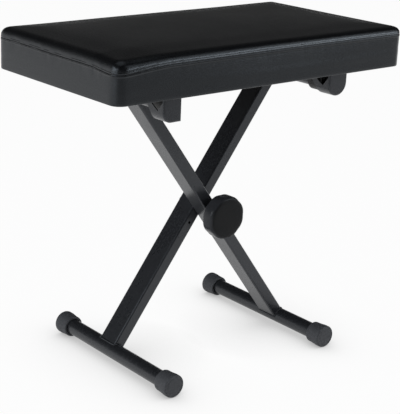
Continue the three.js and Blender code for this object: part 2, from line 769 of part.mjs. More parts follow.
// The crowned top, from its flat middle to the start of the round edge.
function crownRows(skin) {
  const rows = [];
  for (let i = 0; i <= CROWN_STEPS; i += 1) {
    const outward = i / (CROWN_STEPS + 1);
    const inset = CROWN_REACH + (TOP_EDGE_ROUND - CROWN_REACH) * outward;
    rows.push({ inset, z: SEAT_TOP - skin - CROWN * outward ** 2, draw: SIDE_DRAW * outward });
  }
  return rows;
}

// The round edge between the top and the side.
function edgeRows(skin) {
  const rows = [];
  const round = TOP_EDGE_ROUND - skin;
  for (let i = 0; i <= EDGE_STEPS; i += 1) {
    const angle = (i / EDGE_STEPS) * Math.PI / 2;
    const inset = TOP_EDGE_ROUND - Math.sin(angle) * round;
    const z = SEAT_TOP - CROWN - TOP_EDGE_ROUND + Math.cos(angle) * round;
    rows.push({ inset, z, draw: SIDE_DRAW });
  }
  return rows;
}

// The band of the side: the sewn seam, then a slight swell down to the board's top.
function bandRows(skin) {
  const seam = SEAT_TOP - CROWN - SEAM_DROP;
  const swell = (seam + BOARD_TOP) / 2;
  return [
    { inset: skin, z: seam + SEAM_WIDTH / 2, draw: SIDE_DRAW },
    { inset: skin + SEAM_GROOVE, z: seam, draw: SIDE_DRAW },
    { inset: skin, z: seam - SEAM_WIDTH / 2, draw: SIDE_DRAW },
    { inset: skin - SIDE_BULGE, z: swell, draw: SIDE_DRAW * 2 / 3 },
    { inset: skin, z: BOARD_TOP + FIT, draw: SIDE_DRAW / 6 },
  ];
}

// The vinyl round the board's lower edge and in under it.
function hemRows(skin) {
  const half = BOTTOM_EDGE_ROUND * (1 - Math.SQRT1_2);
  return [
    { inset: skin, z: SEAT_BOTTOM + BOTTOM_EDGE_ROUND, draw: 0 },
    { inset: skin + half, z: SEAT_BOTTOM + half + skin / 2, draw: 0 },
    { inset: BOTTOM_EDGE_ROUND + skin / 2, z: SEAT_BOTTOM + skin, draw: 0 },
    { inset: VINYL_TURN_UNDER, z: SEAT_BOTTOM + skin, draw: 0 },
  ];
}

function coverRows(skin) {
  return [...crownRows(skin), ...edgeRows(skin), ...bandRows(skin), ...hemRows(skin)];
}

// A shell of vinyl: down its outside, round the hem and back up its inside.
function seatCover() {
  const rows = [...coverRows(0), ...coverRows(VINYL).reverse()];
  return ringedBody(rows.map(seatRing));
}

function seatFoam() {
  const skin = VINYL + FIT;
  const rows = [...crownRows(skin), ...edgeRows(skin), ...bandRows(skin)];
  return ringedBody(rows.map(seatRing));
}

function seatBoard() {
  const rows = [BOARD_TOP, BOARD_BOTTOM].map((z) => ({ inset: BOARD_EDGE_GAP, z, draw: 0 }));
  return cut(ringedBody(rows.map(seatRing)), screwPlaces().map(([x, y]) => screwRoom(x, y)));
}

function addSeat() {
  addPiece('seat_cover', seatCover(), VINYL_LOOK);
  addPiece('seat_foam', seatFoam(), FOAM_LOOK);
  addPiece('seat_board', seatBoard(), BOARD_LOOK);
}

addSeat();
addBrackets();
addScrews();
addLegs();
addPivot();

export default bench;
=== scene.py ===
# %% [markdown]
# # A folding keyboard bench, dressed for the camera
# The bench was first built to size as plain solids: legs, bars, brackets, board and knob.
# This file loads those solids and gives them the looks of the real thing: a sewn and padded
# seat, black powder coat on steel tube, rubber feet and a moulded clamp knob.
# Everything is in metres. X runs along the seat, Y away from the knob, and Z up from the floor.

# %% Load the model
import json
import math

import bmesh
import bpy
from mathutils import Matrix, Vector, noise

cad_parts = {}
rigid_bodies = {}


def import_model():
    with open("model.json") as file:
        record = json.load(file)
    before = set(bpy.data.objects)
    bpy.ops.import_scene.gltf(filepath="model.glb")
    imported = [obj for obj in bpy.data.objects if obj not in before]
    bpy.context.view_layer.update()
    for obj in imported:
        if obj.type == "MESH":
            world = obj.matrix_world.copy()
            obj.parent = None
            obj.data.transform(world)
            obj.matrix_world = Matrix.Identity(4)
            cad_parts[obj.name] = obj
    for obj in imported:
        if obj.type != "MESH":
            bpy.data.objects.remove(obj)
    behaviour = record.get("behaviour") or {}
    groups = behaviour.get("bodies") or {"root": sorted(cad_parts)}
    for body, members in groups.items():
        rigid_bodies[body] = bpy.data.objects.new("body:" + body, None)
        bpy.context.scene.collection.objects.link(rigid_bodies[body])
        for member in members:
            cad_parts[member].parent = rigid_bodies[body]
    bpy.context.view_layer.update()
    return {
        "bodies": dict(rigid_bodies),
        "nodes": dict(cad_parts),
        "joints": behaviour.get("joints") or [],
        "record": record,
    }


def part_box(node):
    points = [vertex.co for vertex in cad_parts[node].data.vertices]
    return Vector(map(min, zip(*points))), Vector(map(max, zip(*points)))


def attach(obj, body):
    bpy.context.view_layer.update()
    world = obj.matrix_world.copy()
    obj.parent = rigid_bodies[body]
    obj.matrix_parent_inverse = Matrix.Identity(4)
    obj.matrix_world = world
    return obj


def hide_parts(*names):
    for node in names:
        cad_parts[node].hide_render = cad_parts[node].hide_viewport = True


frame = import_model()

nodes = frame["nodes"]
own = set(nodes.values()) | set(frame["bodies"].values())
for leftover in [thing for thing in bpy.data.objects if thing not in own]:
    bpy.data.objects.remove(leftover)

# %% [markdown]
# ## The camera
# The photograph was taken a little from the left and from above. Its viewpoint was found by
# matching straight edges and round ends of the bench to their places in the picture.
# Pointed at the bench by eye, it would make every later comparison a little off. So its
# place, its turn and its focal length are the fitted numbers. The picture is 400 by 414,
# and its middle isn't the lens's middle, which is what shift is for.

# %% Place the camera
PICTURE_WIDTH = 400
PICTURE_HEIGHT = 414
SENSOR = 36.0
FOCAL_PIXELS = 1199.8
LENS_MIDDLE = (161.0, 227.3)
EYE = Vector((-1.1913, -1.3946, 0.8316))
YAW = math.radians(38.64)
PITCH = math.radians(-19.13)
ROLL = math.radians(1.78)
NEAREST_SEEN = 0.05


def new_object(name, data):
    made = bpy.data.objects.new(name, data)
    bpy.context.scene.collection.objects.link(made)
    return made


def camera_turn(yaw, pitch, roll):
    level = math.cos(pitch)
    forward = Vector((math.sin(yaw) * level, math.cos(yaw) * level, math.sin(pitch)))
    right = Vector((math.cos(yaw), -math.sin(yaw), 0))
    up = right.cross(forward)
    tipped_right = right * math.cos(roll) + up * math.sin(roll)
    tipped_up = up * math.cos(roll) - right * math.sin(roll)
    return Matrix((tipped_right, tipped_up, -forward)).transposed().to_4x4()


lens = bpy.data.cameras.new("viewpoint")
lens.sensor_width = SENSOR
lens.lens = FOCAL_PIXELS * SENSOR / PICTURE_HEIGHT
lens.shift_x = (PICTURE_WIDTH / 2 - LENS_MIDDLE[0]) / PICTURE_HEIGHT
lens.shift_y = (LENS_MIDDLE[1] - PICTURE_HEIGHT / 2) / PICTURE_HEIGHT
lens.clip_start = NEAREST_SEEN
camera = new_object("viewpoint", lens)
camera.matrix_world = Matrix.Translation(EYE) @ camera_turn(YAW, PITCH, ROLL)
bpy.context.scene.camera = camera
bpy.context.scene.view_settings.view_transform = "Standard"
print("lens:", round(lens.lens, 1), "mm, shift:", round(lens.shift_x, 3), round(lens.shift_y, 3))

# %% [markdown]
# ## Small helpers for nodes
# A material in Blender is a tree of nodes. Writing each node by hand takes many lines, so short
# helpers do it. The first adds a node and fills or links its sockets, two start a tree or a
# group, and the others add the nodes that come up most. A group is an effect with named inputs
# that several finishes share, each with its own numbers.

# %% Add nodes and groups


def add(tree, kind, inputs, **settings):
    made = tree.nodes.new(kind)
    for name, value in settings.items():
        setattr(made, name, value)
    for name, value in inputs.items():
        if isinstance(value, bpy.types.NodeSocket):
            tree.links.new(value, made.inputs[name])
        else:
            made.inputs[name].default_value = value
    return made


def empty_tree(owner):
    owner.use_nodes = True
    owner.node_tree.nodes.clear()
    return owner.node_tree


def start_group(name, amounts, outputs):
    group = bpy.data.node_groups.new(name, "ShaderNodeTree")
    sockets = group.interface
    sockets.new_socket("Vector", in_out="INPUT", socket_type="NodeSocketVector")
    for label, value in amounts.items():
        made = sockets.new_socket(label, in_out="INPUT", socket_type="NodeSocketFloat")
        made.default_value = value
    for label in outputs:
        sockets.new_socket(label, in_out="OUTPUT", socket_type="NodeSocketFloat")
    return group, group.nodes.new("NodeGroupInput").outputs, group.nodes.new("NodeGroupOutput").inputs


def feed(tree, sockets, **values):
    for label, value in values.items():
        tree.links.new(value, sockets[label.replace("_", " ")])


def source(tree, kind, output):
    return tree.nodes.new(kind).outputs[output]


def calc(tree, operation, first, second=0.0, third=0.0):
    return add(tree, "ShaderNodeMath", {0: first, 1: second, 2: third}, operation=operation).outputs[0]


def combine(tree, operation, first, second, socket=1):
    made = add(tree, "ShaderNodeVectorMath", {0: first, socket: second}, operation=operation)
    return made.outputs["Value" if operation == "DOT_PRODUCT" else "Vector"]


def one_axis(tree, vector, axis):
    return add(tree, "ShaderNodeSeparateXYZ", {"Vector": vector}).outputs[axis]


def stretch(tree, value, low, high, new_low=0.0, new_high=1.0, smooth=False):
    made = add(tree, "ShaderNodeMapRange", {
        "Value": value, "From Min": low, "From Max": high, "To Min": new_low, "To Max": new_high,
    }, interpolation_type="SMOOTHSTEP" if smooth else "LINEAR")
    return made.outputs[0]


def cloudy(tree, place, scale, detail=2.0, roughness=0.5, output="Fac"):
    made = add(tree, "ShaderNodeTexNoise", {
        "Vector": place, "Scale": scale, "Detail": detail, "Roughness": roughness,
    })
    return made.outputs[output]


def squeezed(tree, place, scale):
    return add(tree, "ShaderNodeMapping", {"Vector": place, "Scale": scale}).outputs[0]


def grey(tree, level):
    return add(tree, "ShaderNodeCombineColor", {"Red": level, "Green": level, "Blue": level}).outputs[0]


print("helpers ready")

# %% [markdown]
# ## The floor and the light
# A product picture like this one is taken on a pale sweep of paper under big soft lamps.
# The floor could be lit until it turns white, but the same light would bleach the bench.
# So the floor glows white for the camera, and only a little of what it shows is lit for real.
# The glow dims where the feet come close, which keeps the soft shadow under them. Well in front
# of the bench the paper ends on a pale grey studio floor, which the front of the seat reflects.

# %% Lay the floor
FLOOR_REACH = 14.0
FLOOR_GLOW = 0.968
PAPER_END = (-0.98, -1.28)
STUDIO_GREY = 0.58
CONTACT_REACH = 0.14
CONTACT_SHADE = 0.35
CONTACT_SAMPLES = 16
MOTTLE_SCALE = 3.0
MOTTLE_SHADES = (0.93, 0.95)
FLOOR_DROP = 0.0002


def floor_finish():
    material = bpy.data.materials.new("pale_floor")
    tree = empty_tree(material)
    place = source(tree, "ShaderNodeTexCoord", "Object")
    shade = stretch(tree, cloudy(tree, place, MOTTLE_SCALE), 0.3, 0.7, *MOTTLE_SHADES)
    front = one_axis(tree, place, "Y")
    laid = stretch(tree, front, PAPER_END[1], PAPER_END[0], STUDIO_GREY, 1.0, smooth=True)
    near = add(
        tree, "ShaderNodeAmbientOcclusion", {"Distance": CONTACT_REACH}, samples=CONTACT_SAMPLES,
    )
    contact = stretch(tree, near.outputs["AO"], 0.0, 1.0, CONTACT_SHADE, 1.0)
    colour = grey(tree, calc(tree, "MULTIPLY", shade, laid))
    white = grey(tree, calc(tree, "MULTIPLY", laid, contact))
    paper = add(tree, "ShaderNodeBsdfDiffuse", {"Color": colour})
    glow = add(tree, "ShaderNodeEmission", {"Color": white, "Strength": 1.0})
    rays = tree.nodes.new("ShaderNodeLightPath").outputs
    seen = calc(tree, "MAXIMUM", rays["Is Camera Ray"], rays["Is Glossy Ray"])
    seen = calc(tree, "MAXIMUM", seen, rays["Is Transmission Ray"])
    share = calc(tree, "MULTIPLY", seen, FLOOR_GLOW)
    both = add(tree, "ShaderNodeMixShader", {0: share, 1: paper.outputs[0], 2: glow.outputs[0]})
    add(tree, "ShaderNodeOutputMaterial", {"Surface": both.outputs[0]})
    return material


def as_mesh(name, bm):
    mesh = bpy.data.meshes.new(name)
    bm.to_mesh(mesh)
    bm.free()
    return mesh


sheet = bmesh.new()
bmesh.ops.create_grid(sheet, x_segments=8, y_segments=8, size=FLOOR_REACH)
floor = new_object("floor", as_mesh("floor", sheet))
floor.location.z = -FLOOR_DROP
floor.data.materials.append(floor_finish())
print("floor:", floor.dimensions.x, "m wide")

# %% [markdown]
# The room around the bench is what its glossy parts reflect. The seat's rolled edge shows where
# the lamps are: its top is dark inside the roll, and the roll itself has a crisp bright band.
# So the room is dark overhead and in front, with a pale wall low down behind and to the left,
# and a bright low lamp in front on the right. A broad soft lamp on the left and a faint one
# overhead fill the faces that those two miss. The wall and the room are a background that
# depends on the direction alone. A lamp's numbers are two angles in degrees, its distance,
# width and height in metres, and how bright its face looks.

# %% Light the room
WALL_SIDE = (-0.62, 0.78, 0.0)
WALL_TURN = (0.25, 0.98)
WALL_PALE = 0.95
WALL_TOP = (0.02, 0.26)
ROOM_SIDE = 0.10
ROOM_DARK = 0.006
ROOM_RISE = (0.05, 0.75)
DAYLIGHT = (0.93, 0.985, 1.04)
LAMPS_AIM_AT = Vector((0, 0, 0.45))
SOFTBOXES = {
    "softbox_front": (-44, 12, 2.4, 1.4, 0.55, 6.0),
    "softbox_right": (-40, 30, 2.4, 1.3, 0.7, 1.3),
    "softbox_left": (180, 15, 2.4, 2.4, 1.2, 2.8),
    "softbox_above": (0, 89.9, 2.3, 2.2, 2.2, 0.45),
}


def light_room():
    world = bpy.data.worlds.new("studio")
    bpy.context.scene.world = world
    tree = empty_tree(world)
    direction = source(tree, "ShaderNodeTexCoord", "Generated")
    height = one_axis(tree, direction, "Z")
    wallward = combine(tree, "DOT_PRODUCT", direction, WALL_SIDE)
    side = stretch(tree, wallward, *WALL_TURN, 0.0, WALL_PALE, smooth=True)
    wall = calc(tree, "MULTIPLY", side, stretch(tree, height, *WALL_TOP, 1.0, 0.0, smooth=True))
    room = stretch(tree, height, *ROOM_RISE, ROOM_SIDE, ROOM_DARK, smooth=True)
    level = calc(tree, "ADD", wall, room)
    sky = add(tree, "ShaderNodeBackground", {"Color": (1.0, 1.0, 1.0, 1), "Strength": level})
    add(tree, "ShaderNodeOutputWorld", {"Surface": sky.outputs[0]})


def add_softbox(name, azimuth, elevation, distance, width, height, radiance):
    lamp = bpy.data.lights.new(name, "AREA")
    lamp.shape = "RECTANGLE"
    lamp.size = width
    lamp.size_y = height
    lamp.energy = radiance * math.pi * width * height
    lamp.color = DAYLIGHT
    box = new_object(name, lamp)
    around = math.radians(azimuth)
    up = math.radians(elevation)
    away = Vector((math.cos(around) * math.cos(up), math.sin(around) * math.cos(up), math.sin(up)))
    box.location = LAMPS_AIM_AT + away * distance
    box.rotation_euler = away.to_track_quat("Z", "Y").to_euler()


light_room()
for name, placing in SOFTBOXES.items():
    add_softbox(name, *placing)
print("lamps:", [lamp.name for lamp in bpy.data.lights])

# %% [markdown]
# ## Effects that several finishes share
# Upholstery vinyl is embossed with a pebbled grain: small rounded cells with creases between.
# It could be drawn by hand as a picture. A Voronoi texture makes such cells at any size, and
# the distance to a cell's edge gives the crease. Noise bends the cells so none is regular.

# %% Make the pebbled grain
BEND_SCALE = 0.6
BEND_REACH = 0.9
CREASE_REACH = 0.32
DOME_SHARE = 0.75
FINE_GRAIN = 3.1


def make_pebbles():
    group, given, out = start_group("pebbled_grain", {"Scale": 800.0}, ["Height", "Crease"])
    place = given["Vector"]
    scale = given["Scale"]
    bend = cloudy(group, place, calc(group, "MULTIPLY", scale, BEND_SCALE), output="Color")
    push = combine(group, "ADD", bend, (-0.5, -0.5, -0.5))
    push = combine(group, "SCALE", push, calc(group, "DIVIDE", BEND_REACH, scale), socket="Scale")
    bent = combine(group, "ADD", place, push)
    cells = add(group, "ShaderNodeTexVoronoi", {"Vector": bent, "Scale": scale}, feature="DISTANCE_TO_EDGE")
    dome = stretch(group, cells.outputs["Distance"], 0.0, CREASE_REACH, smooth=True)
    fine = cloudy(group, place, calc(group, "MULTIPLY", scale, FINE_GRAIN), detail=1.0)
    fine_part = calc(group, "MULTIPLY", fine, 1 - DOME_SHARE)
    height = calc(group, "MULTIPLY_ADD", dome, DOME_SHARE, fine_part)
    feed(group, out, Height=height, Crease=calc(group, "SUBTRACT", 1.0, dome))
    return group


pebbled_grain = make_pebbles()
print("group:", pebbled_grain.name)

# %% [markdown]
# Powder coat is sprayed on dry and baked, so it flows into a fine orange peel with small
# specks. Noise and rounded Voronoi grit make the peel, and a coarser noise picks the specks.

# %% Make the powder-coat texture
GRIT_SCALE = 2.3
GRIT_SHARE = 0.3
SPECK_SCALE = 0.45


def make_orange_peel():
    group, given, out = start_group("orange_peel", {"Scale": 700.0}, ["Height", "Speck"])
    place = given["Vector"]
    scale = given["Scale"]
    swell = cloudy(group, place, scale, detail=3.0, roughness=0.6)
    grit_scale = calc(group, "MULTIPLY", scale, GRIT_SCALE)
    grit = add(group, "ShaderNodeTexVoronoi", {"Vector": place, "Scale": grit_scale})
    bead = stretch(group, grit.outputs["Distance"], 0.15, 0.6, 1.0, 0.0, smooth=True)
    coarse = calc(group, "MULTIPLY", swell, 1 - GRIT_SHARE)
    height = calc(group, "MULTIPLY_ADD", bead, GRIT_SHARE, coarse)
    speck_scale = calc(group, "MULTIPLY", scale, SPECK_SCALE)
    specks = cloudy(group, place, speck_scale, detail=4.0, roughness=0.75)
    feed(group, out, Height=height, Speck=stretch(group, specks, 0.5, 0.72))
    return group


orange_peel = make_orange_peel()
print("group:", orange_peel.name)

# %% [markdown]
# Paint and plastic rub thin along their edges. The Bevel node gives a normal that is rounded
# near an edge. Where it differs from the surface's own normal, there is an edge, and noise
# breaks the line up, because wear is never even.

# %% Make the edge wear
SAME_NORMAL = 0.995
WORN_NORMAL = 0.86


def make_edge_wear():
    group, given, out = start_group("edge_wear", {"Radius": 0.001, "Scale": 60.0}, ["Mask"])
    rounded = add(group, "ShaderNodeBevel", {"Radius": given["Radius"]}, samples=4)
    own_normal = source(group, "ShaderNodeNewGeometry", "Normal")
    same = combine(group, "DOT_PRODUCT", rounded.outputs[0], own_normal)
    edge = stretch(group, same, SAME_NORMAL, WORN_NORMAL, smooth=True)
    patchy = cloudy(group, given["Vector"], given["Scale"], detail=4.0, roughness=0.65)
    broken = stretch(group, patchy, 0.38, 0.66, smooth=True)
    feed(group, out, Mask=calc(group, "MULTIPLY", edge, broken))
    return group


edge_wear = make_edge_wear()
print("group:", edge_wear.name)

# %% [markdown]
# Black things show a little dust on whatever faces up, and handling leaves cloudy patches of
# more and less shine. Both are large and soft.

# %% Make the dust and the clouding


def make_dust():
    group, given, out = start_group("settled_dust", {"Scale": 25.0}, ["Mask"])
    up = one_axis(group, source(group, "ShaderNodeNewGeometry", "Normal"), "Z")
    upward = stretch(group, up, 0.2, 0.95, smooth=True)
    drift = cloudy(group, given["Vector"], given["Scale"], detail=6.0, roughness=0.7)
    patch = stretch(group, drift, 0.42, 0.75)
    feed(group, out, Mask=calc(group, "MULTIPLY", upward, patch))
    return group


def make_clouding():
    group, given, out = start_group("clouding", {"Scale": 12.0, "Low": 0.4, "High": 0.5}, ["Value"])
    cloud = cloudy(group, given["Vector"], given["Scale"], detail=5.0, roughness=0.6)
    feed(group, out, Value=stretch(group, cloud, 0.32, 0.68, given["Low"], given["High"]))
    return group


settled_dust = make_dust()
clouding = make_clouding()
print("groups:", settled_dust.name, clouding.name)

# %% [markdown]
# ## A start for every finish
# Each finish is one Principled shader. The first helper makes the material with its constants
# set straight on the shader, and gives back the tree, the shader and the object's coordinates.
# Those coordinates are metres in the bench's own frame, so a texture's Scale is cells a metre.
# The others place a shared effect, blend two colours, and give the shader what was mixed.

# %% Start a finish


def start_finish(name, **constants):
    material = bpy.data.materials.new(name)
    tree = empty_tree(material)
    settings = {label.replace("_", " "): value for label, value in constants.items()}
    shader = add(tree, "ShaderNodeBsdfPrincipled", settings)
    add(tree, "ShaderNodeOutputMaterial", {"Surface": shader.outputs[0]})
    return material, tree, shader, source(tree, "ShaderNodeTexCoord", "Object")


def placed(tree, group, place, **amounts):
    return add(tree, "ShaderNodeGroup", {"Vector": place, **amounts}, node_tree=group).outputs


def blend_colour(tree, share, first, second, strength=None):
    if strength is not None:
        share = calc(tree, "MULTIPLY", share, strength)
    return add(tree, "ShaderNodeMix", {0: share, 6: first, 7: second}, data_type="RGBA").outputs[2]


def coat(tree, shader, colour, rough, height, strength, distance):
    bump = add(tree, "ShaderNodeBump", {"Height": height, "Strength": strength, "Distance": distance})
    feed(tree, shader.inputs, Base_Color=colour, Roughness=rough, Normal=bump.outputs[0])


print("ready to mix finishes")

# %% [markdown]
# ## Vinyl
# The seat is covered in black vinyl with a fine leather grain. It is close to black, shines
# softly, and is a little shinier on the domes of the grain than in the creases. Its shine is
# a cool one, which the shader's specular tint gives without touching the black below it.
# The creases of the grain are also painted darker: a painted shade.

# %% Mix the vinyl
VINYL_SHINE = (0.86, 0.93, 1.0, 1)
VINYL_BLACK = (0.0065, 0.0065, 0.0073, 1)
VINYL_CREASE_SHADE = (0.0042, 0.0043, 0.0050, 1)
VINYL_DUST = (0.11, 0.11, 0.105, 1)


def mix_vinyl():
    material, tree, shader, place = start_finish(
        "vinyl", Specular_IOR_Level=0.44, Specular_Tint=VINYL_SHINE,
    )
    grain = placed(tree, pebbled_grain, place, Scale=900.0)
    cloud = placed(tree, clouding, place, Scale=9.0, Low=0.20, High=0.25)
    dust = placed(tree, settled_dust, place, Scale=30.0)
    # The grain's creases get a darker colour, a painted shade.
    colour = blend_colour(tree, grain["Crease"], VINYL_BLACK, VINYL_CREASE_SHADE)
    colour = blend_colour(tree, dust["Mask"], colour, VINYL_DUST, strength=0.05)
    rough = calc(tree, "MULTIPLY_ADD", grain["Crease"], 0.12, cloud["Value"])
    coat(tree, shader, colour, rough, grain["Height"], strength=0.08, distance=0.0003)
    return material


vinyl = mix_vinyl()
print("finish:", vinyl.name)

# %% [markdown]
# ## Powder coat
# Legs, bars and brackets share one black powder coat. The orange peel scatters its shine into
# fine specks, which the photograph shows on the leg's bright face. Corners are a bit worn.
# Here the specks are painted into the colour as small pale spots: a painted glint.

# %% Mix the powder coat
COAT_SHINE = (0.91, 0.945, 1.0, 1)
COAT_BLACK = (0.0262, 0.0270, 0.0298, 1)
COAT_GLINT_SPECK = (0.0415, 0.0427, 0.0467, 1)
COAT_RUBBED = (0.060, 0.061, 0.064, 1)
COAT_DUST = (0.12, 0.12, 0.115, 1)


def mix_powder_coat():
    material, tree, shader, place = start_finish(
        "powder_coat", Specular_IOR_Level=0.48, Specular_Tint=COAT_SHINE,
    )
    peel = placed(tree, orange_peel, place, Scale=620.0)
    worn = placed(tree, edge_wear, place, Radius=0.0011, Scale=140.0)
    dust = placed(tree, settled_dust, place, Scale=40.0)
    cloud = placed(tree, clouding, place, Scale=14.0, Low=0.25, High=0.32)
    # Pale specks in the colour are a painted glint of the scattered shine.
    colour = blend_colour(tree, peel["Speck"], COAT_BLACK, COAT_GLINT_SPECK)
    colour = blend_colour(tree, worn["Mask"], colour, COAT_RUBBED, strength=0.55)
    colour = blend_colour(tree, dust["Mask"], colour, COAT_DUST, strength=0.03)
    rough = calc(tree, "MULTIPLY_ADD", peel["Speck"], 0.10, cloud["Value"])
    coat(tree, shader, colour, rough, peel["Height"], strength=0.22, distance=0.0002)
    return material


powder_coat = mix_powder_coat()
print("finish:", powder_coat.name)

# %% [markdown]
# ## Rubber, nylon and the knob's plastic
# Three black mouldings that differ in shine. The rubber feet are grey and dull, the nylon caps
# are a bit waxy, and the knob has the fine matt texture of a sparked mould. A mix is a dark and
# a pale colour, the shine, the roughness, the texture's cells a metre and depth, and the rub.

# %% Mix the mouldings
MOULDED_RUBBED = (0.10, 0.10, 0.102, 1)
MOULDED_DUST = (0.14, 0.14, 0.13, 1)
ROUGH_SPREAD = 0.05
RUBBER_MIX = ((0.076, 0.077, 0.083, 1), (0.122, 0.123, 0.132, 1), 0.42, 0.66, 900.0, 0.0003, 0.25)
NYLON_MIX = ((0.006, 0.006, 0.006, 1), (0.010, 0.010, 0.010, 1), 0.40, 0.48, 1200.0, 0.0001, 0.15)
KNOB_MIX = ((0.0080, 0.0082, 0.0090, 1), (0.0140, 0.0143, 0.0155, 1), 0.14, 0.44, 1500.0, 0.00015, 0.25)


def mix_moulding(name, dark, pale, shine, rough, texture, depth, rub):
    material, tree, shader, place = start_finish(name, Specular_IOR_Level=shine)
    skin = placed(tree, orange_peel, place, Scale=texture)
    worn = placed(tree, edge_wear, place, Radius=0.0012, Scale=170.0)
    dust = placed(tree, settled_dust, place, Scale=55.0)
    low = rough - ROUGH_SPREAD
    cloud = placed(tree, clouding, place, Scale=28.0, Low=low, High=rough + ROUGH_SPREAD)
    colour = blend_colour(tree, skin["Speck"], dark, pale)
    colour = blend_colour(tree, worn["Mask"], colour, MOULDED_RUBBED, strength=rub)
    colour = blend_colour(tree, dust["Mask"], colour, MOULDED_DUST, strength=0.05)
    coat(tree, shader, colour, cloud["Value"], skin["Height"], strength=0.30, distance=depth)
    return material


rubber = mix_moulding("rubber", *RUBBER_MIX)
nylon = mix_moulding("nylon", *NYLON_MIX)
knob_plastic = mix_moulding("knob_plastic", *KNOB_MIX)
print("finishes:", rubber.name, nylon.name, knob_plastic.name)

# %% [markdown]
# ## Bright metal
# Screws, washers and the clamp bolt are zinc plated, and the insert in the knob is brass.
# Both are metal, so their colour is in the reflection. Turned and stamped parts carry fine
# marks, which a stretched noise stands for.

# %% Mix the metals
METAL_RUBBED = (0.75, 0.75, 0.75, 1)
ZINC_MIX = ((0.50, 0.51, 0.53, 1), (0.36, 0.37, 0.38, 1), 0.26, 0.42)
BRASS_MIX = ((0.52, 0.34, 0.11, 1), (0.38, 0.24, 0.07, 1), 0.24, 0.38)


def mix_metal(name, pale, dark, low, high):
    material, tree, shader, place = start_finish(name, Metallic=1.0)
    marks = cloudy(tree, squeezed(tree, place, (1.0, 1.0, 9.0)), 420.0, detail=4.0)
    worn = placed(tree, edge_wear, place, Radius=0.0005, Scale=300.0)
    cloud = placed(tree, clouding, place, Scale=70.0, Low=low, High=high)
    colour = blend_colour(tree, marks, pale, dark)
    colour = blend_colour(tree, worn["Mask"], colour, METAL_RUBBED, strength=0.4)
    coat(tree, shader, colour, cloud["Value"], marks, strength=0.15, distance=0.0001)
    return material


zinc = mix_metal("zinc_plate", *ZINC_MIX)
brass = mix_metal("brass", *BRASS_MIX)
print("finishes:", zinc.name, brass.name)

# %% [markdown]
# ## Plywood
# The board under the cushion is plywood with a thin black stain. The grain and the pores still
# show through on its faces, and its edge shows thin layers, dark and less dark by turns. Height
# picks the layer and a stretched noise makes the grain, so one material serves both.

# %% Mix the plywood
BOARD_LAYERS = 9
WOOD_PALE = (0.050, 0.040, 0.032, 1)
WOOD_DARK = (0.024, 0.019, 0.016, 1)
WOOD_PORE = (0.007, 0.006, 0.005, 1)
WOOD_GLUE = (0.009, 0.007, 0.006, 1)


def mix_plywood():
    material, tree, shader, place = start_finish("plywood", Specular_IOR_Level=0.35)
    low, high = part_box("seat_board")
    grain = add(tree, "ShaderNodeTexNoise", {
        "Vector": squeezed(tree, place, (1.2, 26.0, 26.0)),
        "Scale": 9.0, "Detail": 8.0, "Roughness": 0.62, "Distortion": 0.6,
    }).outputs["Fac"]
    pores = cloudy(tree, squeezed(tree, place, (14.0, 420.0, 420.0)), 3.0)
    height = one_axis(tree, place, "Z")
    layer = calc(tree, "MULTIPLY_ADD", height, BOARD_LAYERS / (high.z - low.z) * 0.5, grain)
    layer = stretch(tree, calc(tree, "PINGPONG", layer, 0.5), 0.12, 0.30, smooth=True)
    facing = one_axis(tree, source(tree, "ShaderNodeNewGeometry", "Normal"), "Z")
    on_edge = calc(tree, "SUBTRACT", 1.0, calc(tree, "ABSOLUTE", facing))
    wood = blend_colour(tree, stretch(tree, grain, 0.3, 0.7), WOOD_PALE, WOOD_DARK)
    wood = blend_colour(tree, stretch(tree, pores, 0.62, 0.80, 0.0, 0.6), wood, WOOD_PORE)
    dark_layer = blend_colour(tree, layer, wood, WOOD_GLUE, strength=0.65)
    colour = blend_colour(tree, on_edge, wood, dark_layer)
    rough = stretch(tree, pores, 0.3, 0.7, 0.62, 0.78)
    coat(tree, shader, colour, rough, grain, strength=0.25, distance=0.0003)
    return material


plywood = mix_plywood()
print("finish:", plywood.name)

# %% [markdown]
# The foam is hidden in the finished seat, but its solid is still part of the model, so it
# gets a finish of its own: pale, matt, and full of small open cells.
# The insides of its cells are painted darker: a painted shade.

# %% Mix the foam
FOAM_PALE = (0.70, 0.64, 0.40, 1)
FOAM_CELL_SHADE = (0.46, 0.40, 0.22, 1)


def mix_foam():
    material, tree, shader, place = start_finish("foam", Specular_IOR_Level=0.2)
    cells = placed(tree, pebbled_grain, place, Scale=1100.0)
    cloud = placed(tree, clouding, place, Scale=20.0, Low=0.85, High=0.98)
    # The cells' creases get a darker colour, a painted shade.
    colour = blend_colour(tree, cells["Crease"], FOAM_PALE, FOAM_CELL_SHADE)
    coat(tree, shader, colour, cloud["Value"], cells["Height"], strength=0.5, distance=0.0006)
    return material


foam = mix_foam()
print("finish:", foam.name)

# %% [markdown]
# ## From bmesh to a piece
# Every new piece is made in a bmesh, which is Blender's mesh for editing. The first helper
# cleans the bmesh, makes the object at the origin, and tells the frame what it rides on. The
# others write down a piece's size, turn what its modifiers make into a mesh, and fade between.

# %% Finish a piece
MERGE = 1e-6


def make_piece(name, bm, finish, body, sharp=35.0, recalculate=True):
    bmesh.ops.remove_doubles(bm, verts=bm.verts, dist=MERGE)
    if recalculate:
        bmesh.ops.recalc_face_normals(bm, faces=bm.faces)
    mesh = as_mesh(name, bm)
    mesh.shade_smooth()
    mesh.set_sharp_from_angle(angle=math.radians(sharp))
    mesh.materials.append(finish)
    piece = new_object(name, mesh)
    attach(piece, body)
    return piece


def report(piece):
    spans = [[v.co[i] for v in piece.data.vertices] for i in range(3)]
    size = [round((max(span) - min(span)) * 1000, 1) for span in spans]
    print(piece.name, "faces:", len(piece.data.polygons), "size:", size, "mm")


def baked(thing):
    graph = bpy.context.evaluated_depsgraph_get()
    return bpy.data.meshes.new_from_object(thing.evaluated_get(graph))


